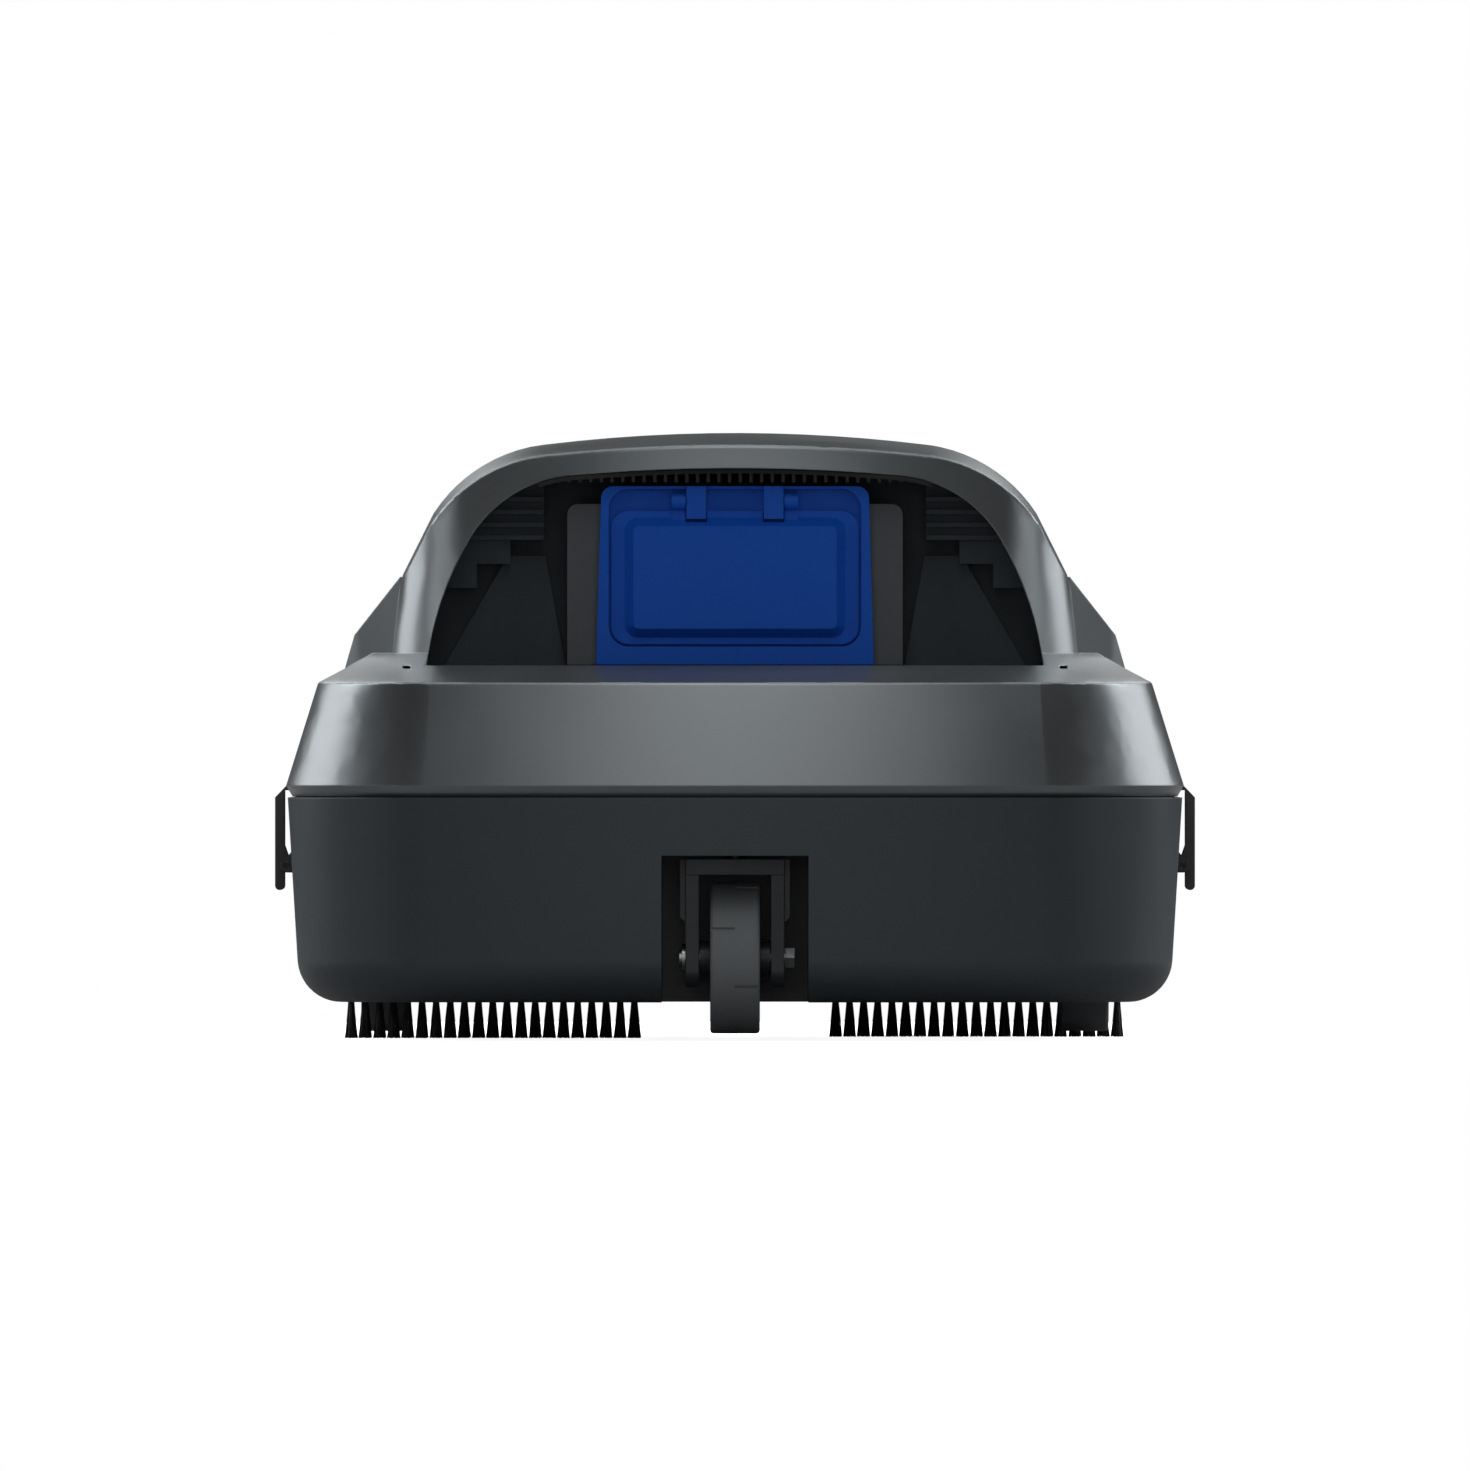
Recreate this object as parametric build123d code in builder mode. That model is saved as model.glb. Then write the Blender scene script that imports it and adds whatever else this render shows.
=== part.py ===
from build123d import *
import os
from math import asin, atan2, cos, degrees, sin, sqrt, tan, radians

# Cordless jet-driven pool cleaner, in millimetres, +Z up, rear towards -Y.
# The origin is on the ground under the middle of the body, at the brush tips.

# Fits
RUNNING_FIT = 0.08
SLIP_FIT = 0.3
SCREW_FIT = 0.05

# Body outline, seen from above
BODY_WIDTH = 336.0
BODY_LENGTH = 410.0
BODY_END_RADIUS = 720.0
BODY_CORNER_RADIUS = 62.0
WALL = 3.0

# Hull
HULL_BOTTOM = 14.1
HULL_TOP = 90.6
HULL_TOP_INSET = 0.6
HULL_BOTTOM_INSET = 5.2
HULL_EDGE_RADIUS = 16.5
HULL_FLOOR = 4.5
RIM_HEIGHT = 6.0
TONGUE_HEIGHT = 1.8
TONGUE_THICKNESS = 2.2
GASKET_HEIGHT = 0.4
GASKET_WIDTH = 2.0
GASKET_SETBACK = 1.0

# Cover: band, skirt and deck
BAND_HEIGHT = 4.1
BAND_INSET = 2.4
SKIRT_HEIGHT = 38.5
SKIRT_INSET = 12.0
SKIRT_EDGE_RADIUS = 2.0
DECK_RISE = 10.8
DECK_WIDTH = 272.0
DECK_LENGTH = 304.0
DECK_END_RADIUS = 520.0
DECK_CORNER_RADIUS = 48.0
DRAIN_WIDTH = 3.0
DRAIN_HEIGHT = 1.0
DRAIN_X = 122.8
DRAIN_RISE = 5.7
DRAIN_BACK = 136.0

# Dome
DOME_HEIGHT = 83.4
DOME_WIDTH = 258.0
DOME_LENGTH = 304.0
DOME_END_RADIUS = 420.0
DOME_CORNER_RADIUS = 36.0
DOME_RAKE = 8.0
DOME_ROOT = 14.0
DOME_EDGE_RADIUS = 2.0
ROOF_RADIUS = 2000.0
CROWN_WIDTH = 144.0
CROWN_DROP = 4.4
SHOULDER_WIDTH = 227.0
SHOULDER_DROP = 30.3
WAIST_WIDTH = 251.2
WAIST_DROP = 54.5

# Fenders beside the dome
FENDER_WIDTH = 296.0
FENDER_BROW_WIDTH = 285.6
FENDER_BROW_RISE = 7.2
FENDER_LENGTH = 200.0
FENDER_CREST = 156.0
FENDER_BLEND_RADIUS = 24.0

# Arch opening at each end of the dome
ARCH_HEIGHT = 73.8
ARCH_SINK = 4.4
ARCH_CROWN_WIDTH = 124.0
ARCH_CROWN_DROP = 2.8
ARCH_SHOULDER_WIDTH = 198.0
ARCH_SHOULDER_DROP = 26.0
ARCH_FOOT_WIDTH = 230.6
ARCH_DEPTH = 55.0

# Arch liner
LINER_WALL = 2.5
LINER_STEP_DEPTH = 15.0
LINER_SLAT_DEPTH = 4.0
LINER_SLAT_THICKNESS = 1.7
LINER_SLAT_PITCH = 4.8
LINER_SLATS = 4
LINER_PAD_DEPTH = 9.0
STEP_WIDTH = 143.0
STEP_RISE = 47.1
STEP_RUN = 12.6
STEP_DROP = 9.0
STEPS = 3
PAD_FOOT_WIDTH = 127.0
PAD_HEAD_WIDTH = 142.0
PAD_HEAD_LENGTH = 14.0
PAD_FOOT_LENGTH = 45.5
PAD_RISE = 41.2

# Ribbed grip under the arch
GRIP_WIDTH = 147.0
GRIP_DEPTH = 18.0
GRIP_THICKNESS = 1.6
GRIP_RIB_DROP = 3.4
GRIP_RIB_THICKNESS = 1.2
GRIP_RIB_PITCH = 4.0

# Outlet frame, flap and duct
OUTLET_SETBACK = 20.0
FRAME_THICKNESS = 8.0
FRAME_BOTTOM_WIDTH = 104.0
FRAME_TOP_WIDTH = 100.0
FRAME_HEIGHT = 66.9
FRAME_CORNER_RADIUS = 4.5
FRAME_SILL = 6.8
FRAME_LINTEL = 1.2
FRAME_POCKET = 4.0
POCKET_WIDTH = 94.4
FRAME_POCKET_RADIUS = 7.5
WINDOW_WIDTH = 74.0
WINDOW_HEIGHT = 38.0
FLAP_THICKNESS = 2.4
FLAP_GAP = 0.8
FLAP_TOP_GAP = 8.1
FLAP_PAD_HEIGHT = 4.6
FLAP_PAD_MARGIN = 5.1
FLAP_PAD_BEVEL = 3.3
HINGE_DROP = 5.8
HINGE_PIN_RADIUS = 1.2
HINGE_BARREL_RADIUS = 3.2
KNUCKLE_WIDTH = 7.4
KNUCKLE_SPACING = 29.0
KNUCKLE_REACH = 6.6
KNUCKLE_WALL = 1.5
KNUCKLE_ROOM = 1.0
TAB_WIDTH = 5.2
DUCT_WIDTH = 125.6
DUCT_HEIGHT = 60.2
DUCT_WALL = 2.5
DUCT_CORNER_RADIUS = 4.0
TUBE_RADIUS = 30.0
TUBE_LENGTH = 34.0
TUBE_FOOT_WIDTH = 30.0

# Pump
MOTOR_RADIUS = 26.0
MOTOR_LENGTH = 92.0
MOTOR_WALL = 2.0
CAP_THICKNESS = 6.0
BEARING_RADIUS = 8.0
BEARING_LENGTH = 5.0
SEAL_RADIUS = 7.0
SEAL_LENGTH = 4.0
SHAFT_RADIUS = 3.0
SHAFT_TAIL = 4.0
ARMATURE_RADIUS = 17.0
ARMATURE_LENGTH = 60.0
IMPELLER_GAP = 1.5
IMPELLER_LENGTH = 20.0
IMPELLER_HUB_RADIUS = 8.0
IMPELLER_BLADES = 4
BLADE_THICKNESS = 1.8
BLADE_PITCH = 40.0
CRADLE_LENGTH = 72.0
CRADLE_WIDTH = 46.0
CRADLE_BASE = 2.8
SADDLE_THICKNESS = 10.0

# Chassis plate
CHASSIS_THICKNESS = 3.5
CHASSIS_LIFT = 2.5
CHASSIS_WINDOW_WIDTH = 56.0
CHASSIS_WINDOW_LENGTH = 96.0
CHASSIS_WINDOW_RADIUS = 8.0
CHASSIS_WINDOW_X = 86.0
CHASSIS_WINDOW_Y = 54.0
POST_RADIUS = 4.5
POST_CORNER_X = 130.0
POST_CORNER_Y = 112.0
POST_END_X = 60.0
POST_END_Y = 168.0
SCREW_RADIUS = 1.5
SCREW_LENGTH = 12.0
SCREW_HEAD_RADIUS = 2.8
SCREW_HEAD_HEIGHT = 2.0
SCREW_RECESS_RADIUS = 1.0

# Battery
CELL_RADIUS = 9.2
CELL_LENGTH = 65.2
CELL_COLUMNS = 4
CELL_ROWS = 2
CELL_GAP = 0.6
BOX_WALL = 2.5
BOX_END_SPACE = 9.0
BOX_HEIGHT = 39.0
BOX_BOSS_RADIUS = 5.0
LID_THICKNESS = 3.2
BOARD_THICKNESS = 1.6
BOARD_LIFT = 6.0
BOARD_MARGIN = 1.0
BOARD_POST_RADIUS = 3.0
LEAD_RADIUS = 1.4
MOTOR_LEAD_STANDOFF = 19.0
MOTOR_LEAD_Y = 26.0
MOTOR_LEAD_BEND = 8.4
CHARGE_LEAD_BEND = 40.0
CHARGE_LEAD_REACH = 22.0

# Control panel in the front of the skirt
PANEL_WIDTH = 92.0
PANEL_HEIGHT = 24.0
PANEL_CORNER_RADIUS = 9.0
PANEL_PROUD = 0.8
PANEL_DEPTH = 5.7
PANEL_FLANGE = 2.4
PANEL_FLANGE_THICKNESS = 2.0
CONTROL_SPACING = 28.0
BUTTON_RADIUS = 7.5
BUTTON_PROUD = 1.4
BUTTON_FLANGE = 2.0
BUTTON_EDGE_RADIUS = 0.8
SOCKET_RADIUS = 6.5
SOCKET_BORE_RADIUS = 4.0
SOCKET_DEPTH = 16.0
SOCKET_PIN_RADIUS = 0.8
LENS_RADIUS = 2.5
LENS_PROUD = 0.6
CAP_RADIUS = 8.2
CAP_DROP = 1.6
CAP_HEIGHT = 1.8
CAP_PIN_RADIUS = 0.8
CAP_BARREL_RADIUS = 1.6
CAP_BARREL_LENGTH = 9.0
CAP_EAR_THICKNESS = 2.0

# Wheels and caster
WHEEL_RADIUS = 28.3
WHEEL_WIDTH = 18.6
WHEEL_CENTRE_Z = 30.75
WHEEL_TRACK = 262.8
TYRE_THICKNESS = 7.0
TYRE_EDGE_RADIUS = 1.4
TREAD_GROOVES = 4
TREAD_GROOVE_WIDTH = 1.2
TREAD_GROOVE_DEPTH = 0.8
HUB_BOSS_RADIUS = 6.5
HUB_HOLE_RADIUS = 4.0
HUB_HOLES = 5
AXLE_RADIUS = 3.0
WELL_SIDE_ROOM = 2.5
WELL_TOP_ROOM = 3.5
CASTER_SETBACK = 37.0
RECESS_WIDTH = 54.8
RECESS_HEIGHT = 54.8
RECESS_LENGTH = 80.0
FORK_INNER_WIDTH = 27.0
FORK_ARM_THICKNESS = 4.9
FORK_ARM_LENGTH = 16.0
FORK_ARM_DROP = 10.9
FORK_ARM_RADIUS = 6.0
FORK_BRIDGE_THICKNESS = 5.8
FORK_TOP_GAP = 1.3
FORK_FLANGE_THICKNESS = 2.2
FORK_FLANGE_HEIGHT = 23.6
FORK_FLANGE_LENGTH = 10.0
FORK_FLANGE_CHAMFER = 2.0
KING_PIN_RADIUS = 4.0
KING_BOSS_RADIUS = 8.0
KING_BOSS_HEIGHT = 4.5
KING_CLIP_RADIUS = 7.0
CLIP_THICKNESS = 1.2
CLIP_GAP = 0.2
AXLE_HEAD_RADIUS = 4.2
AXLE_HEAD_LENGTH = 3.6
AXLE_HEAD_SIDES = 6
AXLE_CLIP_RADIUS = 5.2

# Brush strips
TUFTS = 21
TUFT_PITCH = 5.32
TUFT_FIRST_X = 37.9
BRUSH_SHIFT = 46.0
BRUSH_BAR_WIDTH = 8.0
BRUSH_BAR_HEIGHT = 2.4
BRUSH_BAR_END = 2.6
STRAND_ROWS = 3
STRAND_ROOT_PITCH = 0.85
STRAND_TIP_PITCH = 1.85
STRAND_ROOT_WIDTH = 0.65
STRAND_TIP_WIDTH = 0.8
STRAND_EMBED = 0.6

# Suction inlets
INLET_LENGTH = 70.0
INLET_WIDTH = 24.0
INLET_X = 74.0
INLET_Y = 22.0
INLET_RADIUS = 4.0
CHIMNEY_WALL = 2.5
CHIMNEY_HEIGHT = 13.4
INLET_FLAP_THICKNESS = 2.2
INLET_PIN_RADIUS = 1.2
INLET_BARREL_RADIUS = 2.4
INLET_EAR_THICKNESS = 3.0
THROAT_FLANGE = 2.0

# Filter
FILTER_LEDGE_Z = 77.5
FILTER_LEDGE_THICKNESS = 2.7
FILTER_LEDGE_WIDTH = 5.0
FILTER_FRAME_HEIGHT = 4.0
FILTER_FRAME_WIDTH = 14.0
FILTER_BAR_WIDTH = 8.0
FILTER_MESH_THICKNESS = 0.8
FILTER_MESH_COLUMNS = 15
FILTER_MESH_ROWS = 20
FILTER_MESH_BAR = 1.6
FILTER_POST_RADIUS = 4.0
FILTER_POST_Y = 60.0
FILTER_PEG_RADIUS = 2.0
FILTER_PEG_PROUD = 1.0

# Latches
LATCH_WIDTH = 36.0
LATCH_THICKNESS = 3.6
LATCH_STANDOFF = 3.7
LATCH_TAIL = 9.4
LATCH_NOSE_HEIGHT = 2.7
LATCH_NOSE_REACH = 5.0
LATCH_NOSE_LEAD = 1.3
LATCH_CHAMFER = 5.4
LATCH_LIP = 2.2
LATCH_PIN_RADIUS = 1.2
LATCH_PIN_Z = 65.0
LATCH_BARREL_RADIUS = 2.4
LATCH_EAR_THICKNESS = 5.0
LATCH_EAR_RADIUS = 2.8
LATCH_EAR_HEIGHT = 8.0
LATCH_WEDGE_HEIGHT = 7.5

# Levels and places that follow from the sizes above
SHELL_BOTTOM = HULL_TOP + GASKET_HEIGHT
BAND_TOP = SHELL_BOTTOM + BAND_HEIGHT
SKIRT_TOP = BAND_TOP + SKIRT_HEIGHT
DECK_TOP = SKIRT_TOP + DECK_RISE
DOME_TOP = DECK_TOP + DOME_HEIGHT
DOME_BASE = DECK_TOP - DOME_ROOT
ARCH_FLOOR = DECK_TOP - ARCH_SINK
ARCH_TOP = ARCH_FLOOR + ARCH_HEIGHT
DOME_END = DOME_LENGTH / 2
LINER_BACK = DOME_END - ARCH_DEPTH
FRAME_FACE = DOME_END - OUTLET_SETBACK
FRAME_BACK = FRAME_FACE - FRAME_THICKNESS
POCKET_FLOOR = FRAME_FACE - FRAME_POCKET
FRAME_BOTTOM = ARCH_FLOOR + SLIP_FIT
FRAME_TOP = FRAME_BOTTOM + FRAME_HEIGHT
POCKET_BOTTOM = FRAME_BOTTOM + FRAME_SILL
POCKET_TOP = FRAME_TOP - FRAME_LINTEL
HINGE_Z = FRAME_TOP - HINGE_DROP
HINGE_Y = POCKET_FLOOR + HINGE_BARREL_RADIUS + SLIP_FIT
FLAP_BOTTOM = POCKET_BOTTOM + FLAP_GAP
FLAP_TOP = POCKET_TOP - FLAP_TOP_GAP
FLAP_WIDTH = POCKET_WIDTH - 2 * FLAP_GAP
FLAP_BACK = POCKET_FLOOR + RUNNING_FIT
WINDOW_Z = (FLAP_BOTTOM + FLAP_TOP) / 2
AXIS_Z = WINDOW_Z
TUBE_START = LINER_BACK - LINER_WALL
TUBE_END = LINER_BACK - TUBE_LENGTH
CHASSIS_BOTTOM = SHELL_BOTTOM + CHASSIS_LIFT
CHASSIS_TOP = CHASSIS_BOTTOM + CHASSIS_THICKNESS
TONGUE_INSET = BAND_INSET + WALL + SLIP_FIT
CHASSIS_INSET = TONGUE_INSET + SLIP_FIT
BOX_TOP = CHASSIS_TOP + BOX_HEIGHT
LID_TOP = BOX_TOP + LID_THICKNESS
CELL_PITCH_X = 2 * CELL_RADIUS + CELL_GAP
CELL_PITCH_Y = CELL_LENGTH + CELL_GAP
BOX_INNER_WIDTH = CELL_COLUMNS * CELL_PITCH_X + CELL_GAP
BOX_INNER_LENGTH = CELL_ROWS * CELL_PITCH_Y + CELL_GAP + 2 * BOX_END_SPACE
BOX_WIDTH = BOX_INNER_WIDTH + 2 * BOX_WALL
BOX_LENGTH = BOX_INNER_LENGTH + 2 * BOX_WALL
CELL_Z = CHASSIS_TOP + BOX_WALL + CELL_GAP / 2 + CELL_RADIUS
BOARD_Z = CELL_Z + CELL_RADIUS + BOARD_LIFT
SEAL_START = MOTOR_LENGTH / 2 + CAP_THICKNESS
IMPELLER_Y = (TUBE_START + TUBE_END) / 2
SHAFT_HALF = IMPELLER_Y + IMPELLER_LENGTH / 2 + SHAFT_TAIL
CASTER_Y = BODY_LENGTH / 2 - CASTER_SETBACK
RECESS_TOP = HULL_BOTTOM + RECESS_HEIGHT
FORK_TOP = RECESS_TOP - FORK_TOP_GAP
FORK_OUTER_WIDTH = FORK_INNER_WIDTH + 2 * FORK_ARM_THICKNESS
KING_BOSS_TOP = RECESS_TOP + WALL + KING_BOSS_HEIGHT
WELL_WIDTH = WHEEL_WIDTH + 2 * WELL_SIDE_ROOM
WELL_RADIUS = WHEEL_RADIUS + WELL_TOP_ROOM
WHEEL_X = WHEEL_TRACK / 2
BRUSH_LENGTH = (TUFTS - 1) * TUFT_PITCH
BRUSH_X = TUFT_FIRST_X + BRUSH_LENGTH / 2
BRUSH_BAR_LENGTH = BRUSH_LENGTH + 2 * BRUSH_BAR_END
FLOOR_TOP = HULL_BOTTOM + HULL_FLOOR
CHIMNEY_TOP = FLOOR_TOP + CHIMNEY_HEIGHT
INLET_HINGE_Z = CHIMNEY_TOP + INLET_BARREL_RADIUS + SLIP_FIT
INLET_RIM_LENGTH = INLET_LENGTH + 2 * CHIMNEY_WALL
INLET_RIM_WIDTH = INLET_WIDTH + 2 * CHIMNEY_WALL
INLET_HINGE_Y = INLET_RIM_WIDTH / 2 + INLET_BARREL_RADIUS + SLIP_FIT
FILTER_Z = FILTER_LEDGE_Z + FILTER_LEDGE_THICKNESS
FILTER_INSET = TONGUE_INSET + TONGUE_THICKNESS + 2 * SLIP_FIT
SKIRT_TILT = degrees(atan2(SKIRT_INSET, SKIRT_HEIGHT))
REAR_TO_FRONT = Plane.XZ
LEFT_TO_RIGHT = Plane.YZ

os.makedirs("parts", exist_ok=True)


def save(builder, name):
    """Label a finished piece and write it to its own file."""
    builder.part.label = name
    export_step(builder.part, f"parts/{name}.step")


def rear_plane(distance):
    """Upright plane at a distance behind the middle, facing the rear."""
    return Plane.XZ.offset(distance)


def plan_outline(width, length, end_radius, corner_radius):
    """Rounded plan shape with straight sides and gently bowed ends."""
    side = width / 2
    end = length / 2
    bow = end_radius - sqrt(end_radius**2 - side**2)
    with BuildSketch() as outline:
        with BuildLine():
            rear = ThreePointArc((-side, bow - end), (0, -end), (side, bow - end))
            right = Line(rear @ 1, (side, end - bow))
            front = ThreePointArc(right @ 1, (0, end), (-side, end - bow))
            Line(front @ 1, rear @ 0)
        make_face()
        fillet(outline.vertices(), corner_radius)
    return outline.sketch


def body_outline(inset):
    """The body's plan shape, drawn in by an inset."""
    return plan_outline(
        BODY_WIDTH - 2 * inset,
        BODY_LENGTH - 2 * inset,
        BODY_END_RADIUS - inset,
        BODY_CORNER_RADIUS - inset,
    )


def deck_outline(inset):
    """The deck's upper plan shape, drawn in by an inset."""
    return plan_outline(
        DECK_WIDTH - 2 * inset,
        DECK_LENGTH - 2 * inset,
        DECK_END_RADIUS - inset,
        DECK_CORNER_RADIUS - inset,
    )


def body_stack(*levels):
    """Solid through the body's outline at (height, inset) levels."""
    with BuildPart() as stack:
        for (low, low_inset), (high, high_inset) in zip(levels, levels[1:]):
            with BuildSketch(Plane.XY.offset(low)):
                add(body_outline(low_inset))
            with BuildSketch(Plane.XY.offset(high)):
                add(body_outline(high_inset))
            loft(ruled=True)
    return stack.part


def hull_inset(height):
    """How far the hull's outer side lies inside the body outline at a height."""
    share = (HULL_TOP - height) / (HULL_TOP - HULL_BOTTOM)
    return HULL_TOP_INSET + share * (HULL_BOTTOM_INSET - HULL_TOP_INSET)


def hull_ring(bottom, top, outer_inset, inner_inset):
    """Flat ring that follows the body outline."""
    with BuildPart() as ring:
        with BuildSketch(Plane.XY.offset(bottom)):
            add(body_outline(outer_inset))
            add(body_outline(inner_inset), mode=Mode.SUBTRACT)
        extrude(amount=top - bottom)
    return ring.part


def roof_section(inset):
    """Cross-section of the dome, drawn in by an inset."""
    shoulder_z = DOME_TOP - SHOULDER_DROP
    waist_z = DOME_TOP - WAIST_DROP
    crown_z = DOME_TOP - CROWN_DROP
    foot_spread = (WAIST_WIDTH / 2) + (waist_z - DOME_BASE) * tan(radians(DOME_RAKE))
    with BuildSketch() as section:
        with BuildLine():
            crown = ThreePointArc(
                (-CROWN_WIDTH / 2, crown_z), (0, DOME_TOP), (CROWN_WIDTH / 2, crown_z)
            )
            shoulder = TangentArc(
                crown @ 1, (SHOULDER_WIDTH / 2, shoulder_z), tangent=crown % 1
            )
            far_shoulder = TangentArc(
                crown @ 0, (-SHOULDER_WIDTH / 2, shoulder_z), tangent=-(crown % 0)
            )
            Polyline(
                shoulder @ 1,
                (WAIST_WIDTH / 2, waist_z),
                (foot_spread, DOME_BASE - DOME_ROOT),
                (-foot_spread, DOME_BASE - DOME_ROOT),
                (-WAIST_WIDTH / 2, waist_z),
                far_shoulder @ 1,
            )
        make_face()
        if inset:
            offset(amount=-inset, mode=Mode.REPLACE)
    return section.sketch


def dome_form(inset):
    """Solid dome: a barrel roof cut by raked, bowed ends."""
    roof_axis = Axis((0, 0, DOME_TOP - ROOF_RADIUS), (1, 0, 0))
    sweep_angle = degrees(asin(BODY_LENGTH / 2 / ROOF_RADIUS))
    with BuildPart() as roof:
        with BuildSketch(Plane.XZ):
            add(roof_section(inset))
        revolve(axis=roof_axis, revolution_arc=sweep_angle)
        mirror(about=REAR_TO_FRONT)
    spread = 2 * DOME_ROOT * tan(radians(DOME_RAKE)) - 2 * inset
    with BuildPart() as dome:
        with BuildSketch(Plane.XY.offset(DOME_BASE)):
            add(
                plan_outline(
                    DOME_WIDTH + spread,
                    DOME_LENGTH + spread,
                    DOME_END_RADIUS - inset,
                    DOME_CORNER_RADIUS - inset,
                )
            )
        extrude(amount=DOME_HEIGHT + 2 * DOME_ROOT, taper=DOME_RAKE)
        add(roof.part, mode=Mode.INTERSECT)
        if not inset:
            ridge = dome.edges().filter_by(
                lambda edge: edge.bounding_box().max.Z > DOME_TOP - SHOULDER_DROP
                and abs(edge.center().Y) > DOME_LENGTH / 4
            )
            fillet(ridge, DOME_EDGE_RADIUS)
    return dome.part


def fender_form(inset):
    """Solid bulge on both sides of the dome."""
    brow_z = DECK_TOP + FENDER_BROW_RISE
    waist_z = DOME_TOP - WAIST_DROP
    inner = CROWN_WIDTH / 2
    with BuildPart() as fender:
        with BuildSketch(Plane.XZ) as section:
            with BuildLine():
                Polyline(
                    (inner, waist_z),
                    (WAIST_WIDTH / 2, waist_z),
                    (FENDER_BROW_WIDTH / 2, brow_z),
                    (FENDER_WIDTH / 2, SKIRT_TOP),
                    (FENDER_WIDTH / 2, DOME_BASE - DOME_ROOT),
                    (inner, DOME_BASE - DOME_ROOT),
                    close=True,
                )
            make_face()
            if inset:
                offset(amount=-inset, mode=Mode.REPLACE)
        extrude(amount=FENDER_LENGTH / 2, both=True)
        with BuildSketch() as plan:
            with BuildLine():
                Polyline(
                    (inner, -FENDER_LENGTH / 2),
                    (WAIST_WIDTH / 2, -FENDER_LENGTH / 2),
                    (FENDER_WIDTH / 2 + inset, -FENDER_CREST / 2),
                    (FENDER_WIDTH / 2 + inset, FENDER_CREST / 2),
                    (WAIST_WIDTH / 2, FENDER_LENGTH / 2),
                    (inner, FENDER_LENGTH / 2),
                    close=True,
                )
            make_face()
            fillet(plan.vertices().group_by(Axis.X)[-1], FENDER_BLEND_RADIUS)
            if inset:
                offset(amount=-inset, mode=Mode.REPLACE)
        extrude(amount=DOME_TOP, mode=Mode.INTERSECT)
        mirror(about=LEFT_TO_RIGHT)
    return fender.part


def cover_form(inset):
    """Solid cover: band, skirt, deck, dome and fenders, drawn in by an inset."""
    skirt = body_stack(
        (SHELL_BOTTOM - inset, BAND_INSET * (1 + inset / BAND_HEIGHT) + inset),
        (BAND_TOP, inset),
        (SKIRT_TOP - inset, SKIRT_INSET + inset),
    )
    with BuildPart() as cover:
        add(skirt)
        with BuildSketch(Plane.XY.offset(SKIRT_TOP - inset)):
            add(body_outline(SKIRT_INSET + inset))
        with BuildSketch(Plane.XY.offset(DECK_TOP - inset)):
            add(deck_outline(inset))
        loft(ruled=True)
        if not inset:
            fillet(
                cover.edges().filter_by_position(Axis.Z, SKIRT_TOP, SKIRT_TOP),
                SKIRT_EDGE_RADIUS,
            )
        add(dome_form(inset))
        add(fender_form(inset))
    return cover.part


def arch_section(grow=0.0):
    """Arch opening seen from the rear, grown or shrunk by an offset."""
    crown_z = ARCH_TOP - ARCH_CROWN_DROP
    shoulder_z = ARCH_TOP - ARCH_SHOULDER_DROP
    with BuildSketch() as arch:
        with BuildLine():
            crown = ThreePointArc(
                (-ARCH_CROWN_WIDTH / 2, crown_z),
                (0, ARCH_TOP),
                (ARCH_CROWN_WIDTH / 2, crown_z),
            )
            right = TangentArc(
                crown @ 1, (ARCH_SHOULDER_WIDTH / 2, shoulder_z), tangent=crown % 1
            )
            right_leg = TangentArc(
                right @ 1, (ARCH_FOOT_WIDTH / 2, ARCH_FLOOR), tangent=right % 1
            )
            left = TangentArc(
                crown @ 0, (-ARCH_SHOULDER_WIDTH / 2, shoulder_z), tangent=-(crown % 0)
            )
            left_leg = TangentArc(
                left @ 1, (-ARCH_FOOT_WIDTH / 2, ARCH_FLOOR), tangent=left % 1
            )
            Line(right_leg @ 1, left_leg @ 1)
        make_face()
        if grow:
            offset(amount=grow, mode=Mode.REPLACE)
    return arch.sketch


def mirrored(source, plane):
    """Copy of a piece, mirrored to the other end or side."""
    with BuildPart() as copy:
        mirror(source.part, about=plane)
    return copy


# Control panel's own plane: on the skirt's front face, facing out, x towards -X
panel_origin = (
    0,
    BODY_LENGTH / 2 - SKIRT_INSET / 2,
    BAND_TOP + SKIRT_HEIGHT / 2,
)
panel_normal = (0, cos(radians(SKIRT_TILT)), sin(radians(SKIRT_TILT)))
panel_plane = Plane(panel_origin, x_dir=(-1, 0, 0), z_dir=panel_normal)
panel_back = -PANEL_DEPTH
panel_flange_back = panel_back - PANEL_FLANGE_THICKNESS

# Screw posts' places
post_places = [
    (side * x, end * y)
    for side in (-1, 1)
    for end in (-1, 1)
    for x, y in ((POST_CORNER_X, POST_CORNER_Y), (POST_END_X, POST_END_Y))
]

# Latch outline's corners, on the right side
hull_side = BODY_WIDTH / 2 - hull_inset(LATCH_PIN_Z)
latch_inner = hull_side + LATCH_STANDOFF
latch_outer = latch_inner + LATCH_THICKNESS
latch_pin_x = hull_side + LATCH_BARREL_RADIUS + SLIP_FIT
latch_nose_bottom = SHELL_BOTTOM + LATCH_LIP
latch_nose_top = latch_nose_bottom + LATCH_NOSE_HEIGHT
latch_nose_x = latch_inner - LATCH_NOSE_REACH
latch_bottom = LATCH_PIN_Z - LATCH_TAIL

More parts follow.
